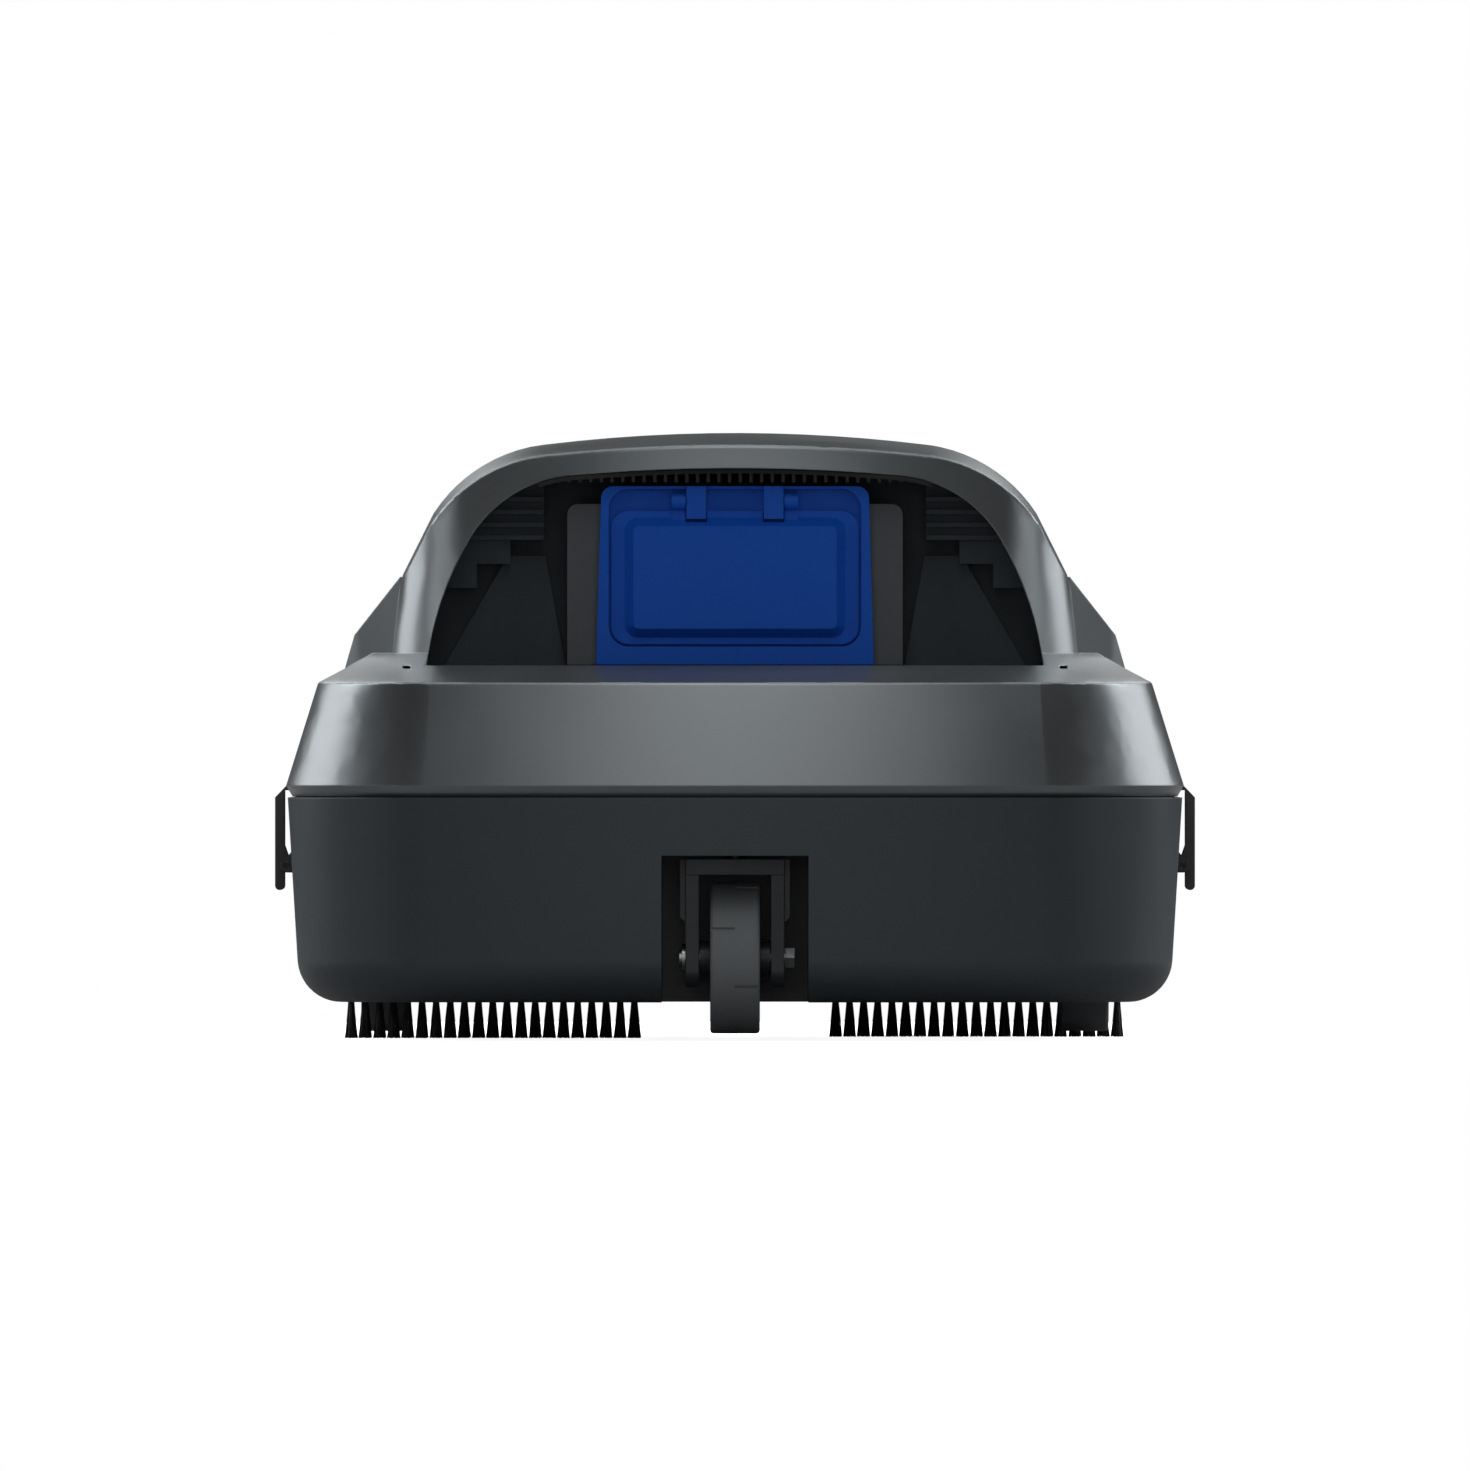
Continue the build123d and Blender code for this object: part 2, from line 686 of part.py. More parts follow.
# Upper shell
outer_cover = cover_form(0)
inner_cover = cover_form(WALL)
with BuildPart() as posts:
    with BuildSketch(Plane.XY.offset(CHASSIS_TOP)):
        with Locations(*post_places):
            Circle(POST_RADIUS)
    extrude(amount=DECK_TOP - WALL / 2 - CHASSIS_TOP)
    add(outer_cover, mode=Mode.INTERSECT)
with BuildPart() as arch_cut:
    with BuildSketch(rear_plane(LINER_BACK)):
        add(arch_section())
    extrude(amount=BODY_LENGTH / 2 - LINER_BACK)
    mirror(about=REAR_TO_FRONT)
with BuildPart() as drains:
    with BuildSketch(rear_plane(DRAIN_BACK)):
        with Locations((-DRAIN_X, SKIRT_TOP + DRAIN_RISE), (DRAIN_X, SKIRT_TOP + DRAIN_RISE)):
            SlotOverall(DRAIN_WIDTH, DRAIN_HEIGHT)
    extrude(amount=BODY_LENGTH / 2 - DRAIN_BACK)
    mirror(about=REAR_TO_FRONT)
with BuildPart() as upper_shell:
    add(outer_cover)
    add(inner_cover, mode=Mode.SUBTRACT)
    add(posts.part)
    add(arch_cut.part, mode=Mode.SUBTRACT)
    add(drains.part, mode=Mode.SUBTRACT)
    with BuildSketch(Plane.XY.offset(CHASSIS_TOP)):
        with Locations(*post_places):
            Circle(SCREW_RADIUS + SCREW_FIT)
    extrude(amount=SCREW_LENGTH, mode=Mode.SUBTRACT)
    with BuildSketch(panel_plane):
        RectangleRounded(
            PANEL_WIDTH + 2 * SLIP_FIT, PANEL_HEIGHT + 2 * SLIP_FIT, PANEL_CORNER_RADIUS
        )
    extrude(amount=2 * PANEL_DEPTH, both=True, mode=Mode.SUBTRACT)
    latch_slot = Box(
        2 * BODY_WIDTH,
        LATCH_WIDTH + 2 * SLIP_FIT,
        LATCH_NOSE_HEIGHT + 3 * SLIP_FIT,
        mode=Mode.PRIVATE,
    )
    slot_z = (latch_nose_bottom + latch_nose_top + SLIP_FIT) / 2
    add(Pos(0, 0, slot_z) * latch_slot, mode=Mode.SUBTRACT)
save(upper_shell, "upper_shell")

# Arch liners: the recess behind each arch, with stepped ribs in its upper corners
step_top = ARCH_FLOOR + STEP_RISE
recess_length = BODY_LENGTH / 2 - LINER_BACK
liner_room = cover_form(WALL + SLIP_FIT)
with BuildPart() as liner_rear:
    with BuildSketch(rear_plane(LINER_BACK - LINER_WALL)):
        add(arch_section(LINER_WALL))
    extrude(amount=recess_length)
    with BuildSketch(rear_plane(LINER_BACK)):
        add(arch_section())
    extrude(amount=recess_length, mode=Mode.SUBTRACT)
    add(liner_room, mode=Mode.INTERSECT)
    with BuildSketch(rear_plane(LINER_BACK)):
        for step in range(STEPS):
            inner = STEP_WIDTH / 2 + step * STEP_RUN
            low = step_top - step * STEP_DROP
            with Locations((inner, low)):
                Rectangle(BODY_WIDTH, BODY_WIDTH, align=Align.MIN)
        mirror(about=LEFT_TO_RIGHT)
        add(arch_section(), mode=Mode.INTERSECT)
    extrude(amount=LINER_STEP_DEPTH)
    with BuildSketch(rear_plane(LINER_BACK + LINER_STEP_DEPTH)):
        for slat in range(LINER_SLATS):
            with Locations((STEP_WIDTH / 2, step_top + slat * LINER_SLAT_PITCH)):
                Rectangle(BODY_WIDTH, LINER_SLAT_THICKNESS, align=Align.MIN)
        mirror(about=LEFT_TO_RIGHT)
        add(arch_section(), mode=Mode.INTERSECT)
    extrude(amount=LINER_SLAT_DEPTH)
    with BuildSketch(rear_plane(LINER_BACK)):
        with BuildLine():
            Polyline(
                (PAD_FOOT_WIDTH / 2, ARCH_FLOOR),
                (PAD_FOOT_WIDTH / 2 + PAD_FOOT_LENGTH, ARCH_FLOOR),
                (PAD_HEAD_WIDTH / 2 + PAD_HEAD_LENGTH, ARCH_FLOOR + PAD_RISE),
                (PAD_HEAD_WIDTH / 2, ARCH_FLOOR + PAD_RISE),
                close=True,
            )
        make_face()
        mirror(about=LEFT_TO_RIGHT)
        add(arch_section(), mode=Mode.INTERSECT)
    extrude(amount=LINER_PAD_DEPTH)
    with BuildSketch(rear_plane(LINER_BACK - LINER_WALL)):
        with Locations((0, AXIS_Z)):
            Circle(TUBE_RADIUS + DUCT_WALL + SLIP_FIT)
    extrude(amount=LINER_WALL, mode=Mode.SUBTRACT)
liner_front = mirrored(liner_rear, REAR_TO_FRONT)
save(liner_rear, "arch_liner_rear")
save(liner_front, "arch_liner_front")

# Ribbed grips under the arches
grip_end = DOME_END - WALL - SLIP_FIT - (ARCH_TOP - DECK_TOP) * tan(radians(DOME_RAKE))
grip_ribs = int(GRIP_WIDTH / GRIP_RIB_PITCH)
with BuildPart() as grip_rear:
    with BuildSketch(rear_plane(grip_end - GRIP_DEPTH)):
        add(arch_section(-SLIP_FIT))
        add(arch_section(-SLIP_FIT - GRIP_THICKNESS), mode=Mode.SUBTRACT)
        rib_bottom = ARCH_TOP - SLIP_FIT - GRIP_THICKNESS - GRIP_RIB_DROP
        with GridLocations(GRIP_RIB_PITCH, 1, grip_ribs, 1):
            with Locations((0, rib_bottom)):
                Rectangle(
                    GRIP_RIB_THICKNESS, ARCH_HEIGHT, align=(Align.CENTER, Align.MIN)
                )
        add(arch_section(-SLIP_FIT), mode=Mode.INTERSECT)
        with Locations((0, ARCH_TOP)):
            Rectangle(GRIP_WIDTH, ARCH_CROWN_WIDTH / 2, mode=Mode.INTERSECT)
    extrude(amount=GRIP_DEPTH)
grip_front = mirrored(grip_rear, REAR_TO_FRONT)
save(grip_rear, "handle_grip_rear")
save(grip_front, "handle_grip_front")

# Outlet ducts: a box behind each outlet frame and a round tube for the impeller
duct_back = LINER_BACK + SLIP_FIT
duct_z = FRAME_BOTTOM + DUCT_HEIGHT / 2
with BuildPart() as duct_rear:
    with BuildSketch(rear_plane(duct_back)) as duct_outline:
        with Locations((0, duct_z)):
            Rectangle(DUCT_WIDTH, DUCT_HEIGHT)
        fillet(duct_outline.vertices().group_by(Axis.Y)[-1], DUCT_CORNER_RADIUS)
    extrude(amount=FRAME_BACK - duct_back)
    with BuildSketch(rear_plane(TUBE_END)):
        with Locations((0, AXIS_Z)):
            Circle(TUBE_RADIUS + DUCT_WALL)
    extrude(amount=duct_back - TUBE_END)
    with BuildSketch(rear_plane(TUBE_END)):
        with Locations((0, LID_TOP)):
            Rectangle(
                TUBE_FOOT_WIDTH,
                AXIS_Z - TUBE_RADIUS - LID_TOP,
                align=(Align.CENTER, Align.MIN),
            )
    extrude(amount=BOX_LENGTH / 2 - TUBE_END)
    with BuildSketch(rear_plane(duct_back + DUCT_WALL)):
        with Locations((0, duct_z)):
            Rectangle(DUCT_WIDTH - 2 * DUCT_WALL, DUCT_HEIGHT - 2 * DUCT_WALL)
    extrude(amount=FRAME_BACK - duct_back - 2 * DUCT_WALL, mode=Mode.SUBTRACT)
    with BuildSketch(rear_plane(FRAME_BACK - DUCT_WALL)):
        with Locations((0, WINDOW_Z)):
            Rectangle(WINDOW_WIDTH, WINDOW_HEIGHT)
    extrude(amount=DUCT_WALL, mode=Mode.SUBTRACT)
    with BuildSketch(rear_plane(TUBE_END)):
        with Locations((0, AXIS_Z)):
            Circle(TUBE_RADIUS)
    extrude(amount=duct_back + DUCT_WALL - TUBE_END, mode=Mode.SUBTRACT)
duct_front = mirrored(duct_rear, REAR_TO_FRONT)
save(duct_rear, "outlet_duct_rear")
save(duct_front, "outlet_duct_front")

# Outlet frames with the two hinge knuckles
knuckle_places = [(side * KNUCKLE_SPACING / 2, HINGE_Z) for side in (-1, 1)]
tab_x = (KNUCKLE_SPACING + KNUCKLE_WIDTH + TAB_WIDTH) / 2 + SLIP_FIT
hinge_inner = (KNUCKLE_SPACING - KNUCKLE_WIDTH) / 2
hinge_outer = tab_x + TAB_WIDTH / 2


def hinge_rods(radius):
    """Two short rods on the rear outlet's hinge line, each through a knuckle and a tab."""
    with BuildPart() as rods:
        with BuildSketch(Plane.YZ.offset(hinge_inner)):
            with Locations((-HINGE_Y, HINGE_Z)):
                Circle(radius)
        extrude(amount=hinge_outer - hinge_inner)
        mirror(about=LEFT_TO_RIGHT)
    return rods.part


with BuildPart() as frame_rear:
    with BuildSketch(rear_plane(FRAME_BACK)) as frame_outline:
        with BuildLine():
            Polyline(
                (-FRAME_BOTTOM_WIDTH / 2, FRAME_BOTTOM),
                (FRAME_BOTTOM_WIDTH / 2, FRAME_BOTTOM),
                (FRAME_TOP_WIDTH / 2, FRAME_TOP),
                (-FRAME_TOP_WIDTH / 2, FRAME_TOP),
                close=True,
            )
        make_face()
        fillet(frame_outline.vertices().group_by(Axis.Y)[-1], FRAME_CORNER_RADIUS)
    extrude(amount=FRAME_THICKNESS)
    with BuildSketch(rear_plane(POCKET_FLOOR)) as pocket:
        with Locations((0, POCKET_BOTTOM)):
            Rectangle(
                POCKET_WIDTH,
                POCKET_TOP - POCKET_BOTTOM,
                align=(Align.CENTER, Align.MIN),
            )
        fillet(pocket.vertices(), FRAME_POCKET_RADIUS)
    extrude(amount=FRAME_POCKET, mode=Mode.SUBTRACT)
    with BuildSketch(rear_plane(FRAME_BACK)):
        with Locations((0, WINDOW_Z)):
            Rectangle(WINDOW_WIDTH, WINDOW_HEIGHT)
    extrude(amount=FRAME_THICKNESS, mode=Mode.SUBTRACT)
    with BuildSketch(rear_plane(POCKET_FLOOR)):
        with Locations(*[(x, z - KNUCKLE_REACH) for x, z in knuckle_places]):
            Rectangle(
                KNUCKLE_WIDTH,
                KNUCKLE_REACH + HINGE_DROP,
                align=(Align.CENTER, Align.MIN),
            )
    extrude(amount=HINGE_Y + HINGE_PIN_RADIUS + KNUCKLE_WALL - POCKET_FLOOR)
    add(hinge_rods(HINGE_PIN_RADIUS + SCREW_FIT), mode=Mode.SUBTRACT)
frame_front = mirrored(frame_rear, REAR_TO_FRONT)
save(frame_rear, "outlet_frame_rear")
save(frame_front, "outlet_frame_front")

# Flap hinge pins
with BuildPart() as flap_pins:
    add(hinge_rods(HINGE_PIN_RADIUS))
    mirror(about=REAR_TO_FRONT)
save(flap_pins, "flap_pins")

# Outlet flaps with a raised pad and two hinge tabs
pad_taper = degrees(atan2(FLAP_PAD_BEVEL, FLAP_PAD_HEIGHT))
with BuildPart() as flap_rear:
    with BuildSketch(rear_plane(FLAP_BACK)) as flap_outline:
        with Locations((0, FLAP_BOTTOM)):
            Rectangle(
                FLAP_WIDTH, FLAP_TOP - FLAP_BOTTOM, align=(Align.CENTER, Align.MIN)
            )
        fillet(flap_outline.vertices(), FRAME_POCKET_RADIUS - FLAP_GAP)
    extrude(amount=FLAP_THICKNESS)
    with BuildSketch(rear_plane(FLAP_BACK + FLAP_THICKNESS)):
        with Locations((0, WINDOW_Z)):
            RectangleRounded(
                FLAP_WIDTH - 2 * FLAP_PAD_MARGIN,
                FLAP_TOP - FLAP_BOTTOM - FLAP_PAD_MARGIN,
                FLAP_PAD_MARGIN,
            )
    extrude(amount=FLAP_PAD_HEIGHT, taper=pad_taper)
    with BuildSketch(rear_plane(FLAP_BACK)):
        with Locations((-tab_x, HINGE_Z), (tab_x, HINGE_Z)):
            Rectangle(
                TAB_WIDTH, HINGE_Z - FLAP_TOP + TAB_WIDTH, align=(Align.CENTER, Align.MAX)
            )
    extrude(amount=HINGE_Y - FLAP_BACK)
    with BuildSketch(rear_plane(FLAP_BACK)):
        with Locations(*[(x, z - KNUCKLE_REACH - KNUCKLE_ROOM) for x, z in knuckle_places]):
            Rectangle(
                KNUCKLE_WIDTH + 2 * SLIP_FIT, ARCH_HEIGHT, align=(Align.CENTER, Align.MIN)
            )
    extrude(amount=FLAP_THICKNESS + FLAP_PAD_HEIGHT, mode=Mode.SUBTRACT)
    for side in (-1, 1):
        with BuildSketch(Plane.YZ.offset(side * tab_x)):
            with Locations((-HINGE_Y, HINGE_Z)):
                Circle(HINGE_BARREL_RADIUS)
        extrude(amount=TAB_WIDTH / 2, both=True)
    add(hinge_rods(HINGE_PIN_RADIUS + RUNNING_FIT), mode=Mode.SUBTRACT)
flap_front = mirrored(flap_rear, REAR_TO_FRONT)
save(flap_rear, "outlet_flap_rear")
save(flap_front, "outlet_flap_front")

# Chassis plate that closes the cover from below, with water windows
window_places = [
    (side * CHASSIS_WINDOW_X, end * CHASSIS_WINDOW_Y) for side in (-1, 1) for end in (-1, 1)
]
filter_post_x = BODY_WIDTH / 2 - FILTER_INSET - FILTER_FRAME_WIDTH / 2
filter_post_places = [
    (side * filter_post_x, end * FILTER_POST_Y) for side in (-1, 1) for end in (-1, 1)
]
with BuildPart() as chassis_plate:
    with BuildSketch(Plane.XY.offset(CHASSIS_BOTTOM)):
        add(body_outline(CHASSIS_INSET))
        with Locations(*window_places):
            RectangleRounded(
                CHASSIS_WINDOW_WIDTH,
                CHASSIS_WINDOW_LENGTH,
                CHASSIS_WINDOW_RADIUS,
                mode=Mode.SUBTRACT,
            )
        with Locations(*post_places):
            Circle(SCREW_RADIUS + SCREW_FIT, mode=Mode.SUBTRACT)
        with Locations(*filter_post_places):
            Circle(FILTER_PEG_RADIUS + SCREW_FIT, mode=Mode.SUBTRACT)
    extrude(amount=CHASSIS_THICKNESS)
save(chassis_plate, "chassis_plate")


def screw_set(places, seat_z, upward):
    """Pan-head screws with a square recess, driven up or down from a seat."""
    way = 1 if upward else -1
    with BuildPart() as screws:
        with BuildSketch(Plane.XY.offset(seat_z)):
            with Locations(*places):
                Circle(SCREW_RADIUS)
        extrude(amount=way * SCREW_LENGTH)
        with BuildSketch(Plane.XY.offset(seat_z)):
            with Locations(*places):
                Circle(SCREW_HEAD_RADIUS)
        extrude(amount=-way * SCREW_HEAD_HEIGHT)
        with BuildSketch(Plane.XY.offset(seat_z - way * SCREW_HEAD_HEIGHT)):
            with Locations(*places):
                Rectangle(2 * SCREW_RECESS_RADIUS, 2 * SCREW_RECESS_RADIUS)
        extrude(amount=way * SCREW_HEAD_HEIGHT / 2, mode=Mode.SUBTRACT)
    return screws.part


# Battery box, its lid, cells and control board
box_boss_places = [
    (side * BOX_WIDTH / 2, end * BOX_LENGTH / 2) for side in (-1, 1) for end in (-1, 1)
]
board_post_x = BOX_INNER_WIDTH / 2 - BOARD_POST_RADIUS
board_post_y = BOX_INNER_LENGTH / 2 - BOARD_POST_RADIUS
board_post_places = [
    (side * board_post_x, end * board_post_y) for side in (-1, 1) for end in (-1, 1)
]
with BuildPart() as battery_box:
    with BuildSketch(Plane.XY.offset(CHASSIS_TOP)):
        Rectangle(BOX_WIDTH, BOX_LENGTH)
        with Locations(*box_boss_places):
            Circle(BOX_BOSS_RADIUS)
    extrude(amount=BOX_HEIGHT)
    with BuildSketch(Plane.XY.offset(CHASSIS_TOP + BOX_WALL)):
        Rectangle(BOX_INNER_WIDTH, BOX_INNER_LENGTH)
    extrude(amount=BOX_HEIGHT, mode=Mode.SUBTRACT)
    with BuildSketch(Plane.XY.offset(CHASSIS_TOP + BOX_WALL)):
        with Locations(*board_post_places):
            Circle(BOARD_POST_RADIUS)
    extrude(amount=BOARD_Z - CHASSIS_TOP - BOX_WALL)
    with BuildSketch(Plane.XY.offset(BOX_TOP)):
        with Locations(*box_boss_places):
            Circle(SCREW_RADIUS + SCREW_FIT)
    extrude(amount=-SCREW_LENGTH, mode=Mode.SUBTRACT)
save(battery_box, "battery_box")

with BuildPart() as battery_lid:
    with BuildSketch(Plane.XY.offset(BOX_TOP)):
        Rectangle(BOX_WIDTH, BOX_LENGTH)
        with Locations(*box_boss_places):
            Circle(BOX_BOSS_RADIUS)
            Circle(SCREW_RADIUS + SCREW_FIT, mode=Mode.SUBTRACT)
    extrude(amount=LID_THICKNESS)
save(battery_lid, "battery_lid")

# Screws, all alike: through the chassis plate into the shell, and through the lid into the box
with BuildPart() as cover_screws:
    add(screw_set(post_places, CHASSIS_BOTTOM, upward=True))
    add(screw_set(box_boss_places, LID_TOP, upward=False))
save(cover_screws, "cover_screws")

with BuildPart() as battery_cells:
    with BuildSketch(Plane.XZ):
        with Locations((0, CELL_Z)):
            with GridLocations(CELL_PITCH_X, 1, CELL_COLUMNS, 1):
                Circle(CELL_RADIUS)
    extrude(amount=(CELL_ROWS * CELL_PITCH_Y - CELL_GAP) / 2, both=True)
    for row in range(1, CELL_ROWS):
        gap_y = (row - CELL_ROWS / 2) * CELL_PITCH_Y
        with BuildSketch(rear_plane(gap_y - CELL_GAP / 2)):
            with Locations((0, CELL_Z)):
                Rectangle(BOX_WIDTH, 2 * CELL_RADIUS)
        extrude(amount=CELL_GAP, mode=Mode.SUBTRACT)
save(battery_cells, "battery_cells")

with BuildPart() as control_board:
    with BuildSketch(Plane.XY.offset(BOARD_Z)):
        Rectangle(BOX_INNER_WIDTH - 2 * BOARD_MARGIN, BOX_INNER_LENGTH - 2 * BOARD_MARGIN)
    extrude(amount=BOARD_THICKNESS)
save(control_board, "control_board")


# Pump motor with a shaft that runs out of both ends
def axial_disc(start, length, radius, bore=0.0):
    """Round piece on the pump's axis, from a distance behind the middle."""
    with BuildPart() as disc:
        with BuildSketch(rear_plane(start)):
            with Locations((0, AXIS_Z)):
                Circle(radius)
                if bore:
                    Circle(bore, mode=Mode.SUBTRACT)
        extrude(amount=length)
    return disc.part


def both_ends(piece):
    """The same piece at the rear and at the front."""
    with BuildPart() as pair:
        add(piece)
        mirror(about=REAR_TO_FRONT)
    return pair


motor_half = MOTOR_LENGTH / 2
with BuildPart() as motor_can:
    add(axial_disc(-motor_half, MOTOR_LENGTH, MOTOR_RADIUS, MOTOR_RADIUS - MOTOR_WALL))
save(motor_can, "motor_can")

with BuildPart() as rear_cap:
    add(axial_disc(motor_half, CAP_THICKNESS, MOTOR_RADIUS, SHAFT_RADIUS + SLIP_FIT))
    add(axial_disc(motor_half, BEARING_LENGTH, BEARING_RADIUS), mode=Mode.SUBTRACT)
motor_caps = both_ends(rear_cap.part)
save(motor_caps, "motor_caps")

motor_bearings = both_ends(
    axial_disc(motor_half, BEARING_LENGTH, BEARING_RADIUS, SHAFT_RADIUS + RUNNING_FIT)
)
save(motor_bearings, "motor_bearings")

shaft_seals = both_ends(
    axial_disc(SEAL_START, SEAL_LENGTH, SEAL_RADIUS, SHAFT_RADIUS + RUNNING_FIT)
)
save(shaft_seals, "shaft_seals")

with BuildPart() as pump_shaft:
    add(axial_disc(-SHAFT_HALF, 2 * SHAFT_HALF, SHAFT_RADIUS))
save(pump_shaft, "pump_shaft")

with BuildPart() as armature:
    add(axial_disc(-ARMATURE_LENGTH / 2, ARMATURE_LENGTH, ARMATURE_RADIUS, SHAFT_RADIUS))
save(armature, "motor_armature")

# Impellers, one in each tube
blade_tip = TUBE_RADIUS - IMPELLER_GAP
impeller_plane = Plane((0, -IMPELLER_Y, AXIS_Z), x_dir=(1, 0, 0), z_dir=(0, -1, 0))
with BuildPart(impeller_plane) as impeller_rear:
    Cylinder(IMPELLER_HUB_RADIUS, IMPELLER_LENGTH)
    with PolarLocations(blade_tip / 2, IMPELLER_BLADES):
        Box(blade_tip, BLADE_THICKNESS, IMPELLER_LENGTH, rotation=(BLADE_PITCH, 0, 0))
    Cylinder(blade_tip, IMPELLER_LENGTH, mode=Mode.INTERSECT)
    Cylinder(SHAFT_RADIUS, IMPELLER_LENGTH, mode=Mode.SUBTRACT)
impeller_front = mirrored(impeller_rear, REAR_TO_FRONT)
save(impeller_rear, "impeller_rear")
save(impeller_front, "impeller_front")

# Motor cradle on the battery lid
with BuildPart() as motor_cradle:
    with BuildSketch(Plane.XY.offset(LID_TOP)):
        Rectangle(CRADLE_WIDTH, CRADLE_LENGTH)
    extrude(amount=CRADLE_BASE)
    with BuildSketch(Plane.XY.offset(LID_TOP)):
        with GridLocations(1, CRADLE_LENGTH - SADDLE_THICKNESS, 1, 2):
            Rectangle(CRADLE_WIDTH, SADDLE_THICKNESS)
    extrude(amount=AXIS_Z - MOTOR_RADIUS / 2 - LID_TOP)
    add(
        axial_disc(-CRADLE_LENGTH, 2 * CRADLE_LENGTH, MOTOR_RADIUS + SCREW_FIT),
        mode=Mode.SUBTRACT,
    )
save(motor_cradle, "motor_cradle")

# Motor lead, from the lid up and into the side of the can
lead_x = MOTOR_RADIUS + MOTOR_LEAD_STANDOFF
with BuildPart() as motor_lead:
    with BuildLine():
        FilletPolyline(
            (lead_x, MOTOR_LEAD_Y, LID_TOP),
            (lead_x, MOTOR_LEAD_Y, AXIS_Z),
            (MOTOR_RADIUS + SLIP_FIT, MOTOR_LEAD_Y, AXIS_Z),
            radius=MOTOR_LEAD_BEND,
        )
    with BuildSketch(Plane((lead_x, MOTOR_LEAD_Y, LID_TOP))):
        Circle(LEAD_RADIUS)
    sweep()
save(motor_lead, "motor_lead")

# Control panel, button, lens, socket and its cap, all on the panel's plane
panel_front = PANEL_PROUD
cap_seat = panel_front + SLIP_FIT
cap_hinge_y = CAP_RADIUS - CAP_DROP + CAP_BARREL_RADIUS
cap_hinge_z = cap_seat + CAP_BARREL_RADIUS
cap_ear_x = CAP_BARREL_LENGTH / 2 + SLIP_FIT + CAP_EAR_THICKNESS / 2
flange_seat = panel_flange_back - SLIP_FIT


def cap_rod(radius, half_length):
    """Rod along the socket cap's hinge line."""
    rod_plane = Plane(
        panel_plane.from_local_coords((CONTROL_SPACING, cap_hinge_y, cap_hinge_z)),
        z_dir=(1, 0, 0),
    )
    with BuildPart() as rod:
        with BuildSketch(rod_plane):
            Circle(radius)
        extrude(amount=half_length, both=True)
    return rod.part


def panel_plug(place, radius, front, back):
    """Round plug through the panel, from a front to a back level."""
    with BuildPart() as plug:
        with BuildSketch(panel_plane.offset(back)):
            with Locations((place, 0)):
                Circle(radius)
        extrude(amount=front - back)
    return plug.part


cap_pin_half = cap_ear_x + CAP_EAR_THICKNESS / 2
with BuildPart() as control_panel:
    with BuildSketch(panel_plane.offset(panel_back)):
        RectangleRounded(PANEL_WIDTH, PANEL_HEIGHT, PANEL_CORNER_RADIUS)
    extrude(amount=panel_front - panel_back)
    with BuildSketch(panel_plane.offset(panel_flange_back)):
        RectangleRounded(
            PANEL_WIDTH + 2 * PANEL_FLANGE,
            PANEL_HEIGHT + 2 * PANEL_FLANGE,
            PANEL_CORNER_RADIUS + PANEL_FLANGE,
        )
    extrude(amount=PANEL_FLANGE_THICKNESS)
    with BuildSketch(panel_plane.offset(panel_flange_back)):
        with Locations((-CONTROL_SPACING, 0)):
            Circle(BUTTON_RADIUS + SLIP_FIT)
        with Locations((0, 0)):
            Circle(LENS_RADIUS + SCREW_FIT)
        with Locations((CONTROL_SPACING, 0)):
            Circle(SOCKET_RADIUS + SCREW_FIT)
    extrude(amount=panel_front - panel_flange_back, mode=Mode.SUBTRACT)
    with BuildSketch(panel_plane.offset(panel_front)):
        with Locations((CONTROL_SPACING, cap_hinge_y)):
            with GridLocations(2 * cap_ear_x, 1, 2, 1):
                Rectangle(CAP_EAR_THICKNESS, 2 * CAP_BARREL_RADIUS)
    extrude(amount=SLIP_FIT + 2 * CAP_BARREL_RADIUS)
    add(cap_rod(CAP_PIN_RADIUS + SCREW_FIT, cap_pin_half), mode=Mode.SUBTRACT)
save(control_panel, "control_panel")

with BuildPart() as power_button:
    button_front = panel_front + BUTTON_PROUD
    button_back = flange_seat - BUTTON_FLANGE
    add(panel_plug(-CONTROL_SPACING, BUTTON_RADIUS, button_front, button_back))
    fillet(power_button.edges().sort_by(Axis.Y)[-1], BUTTON_EDGE_RADIUS)
    add(panel_plug(-CONTROL_SPACING, BUTTON_RADIUS + BUTTON_FLANGE, flange_seat, button_back))
save(power_button, "power_button")

with BuildPart() as status_lens:
    add(panel_plug(0, LENS_RADIUS, panel_front + LENS_PROUD, panel_flange_back))
    add(panel_plug(0, 2 * LENS_RADIUS, panel_flange_back, panel_flange_back - LENS_PROUD))
save(status_lens, "status_lens")

with BuildPart() as charging_socket:
    add(panel_plug(CONTROL_SPACING, SOCKET_RADIUS, panel_front, -SOCKET_DEPTH))
    add(
        panel_plug(
            CONTROL_SPACING,
            SOCKET_RADIUS + BUTTON_FLANGE,
            panel_flange_back,
            panel_flange_back - BUTTON_FLANGE,
        )
    )
    add(
        panel_plug(CONTROL_SPACING, SOCKET_BORE_RADIUS, panel_front, WALL - SOCKET_DEPTH),
        mode=Mode.SUBTRACT,
    )
    add(panel_plug(CONTROL_SPACING, SOCKET_PIN_RADIUS, panel_back, -SOCKET_DEPTH))
save(charging_socket, "charging_socket")

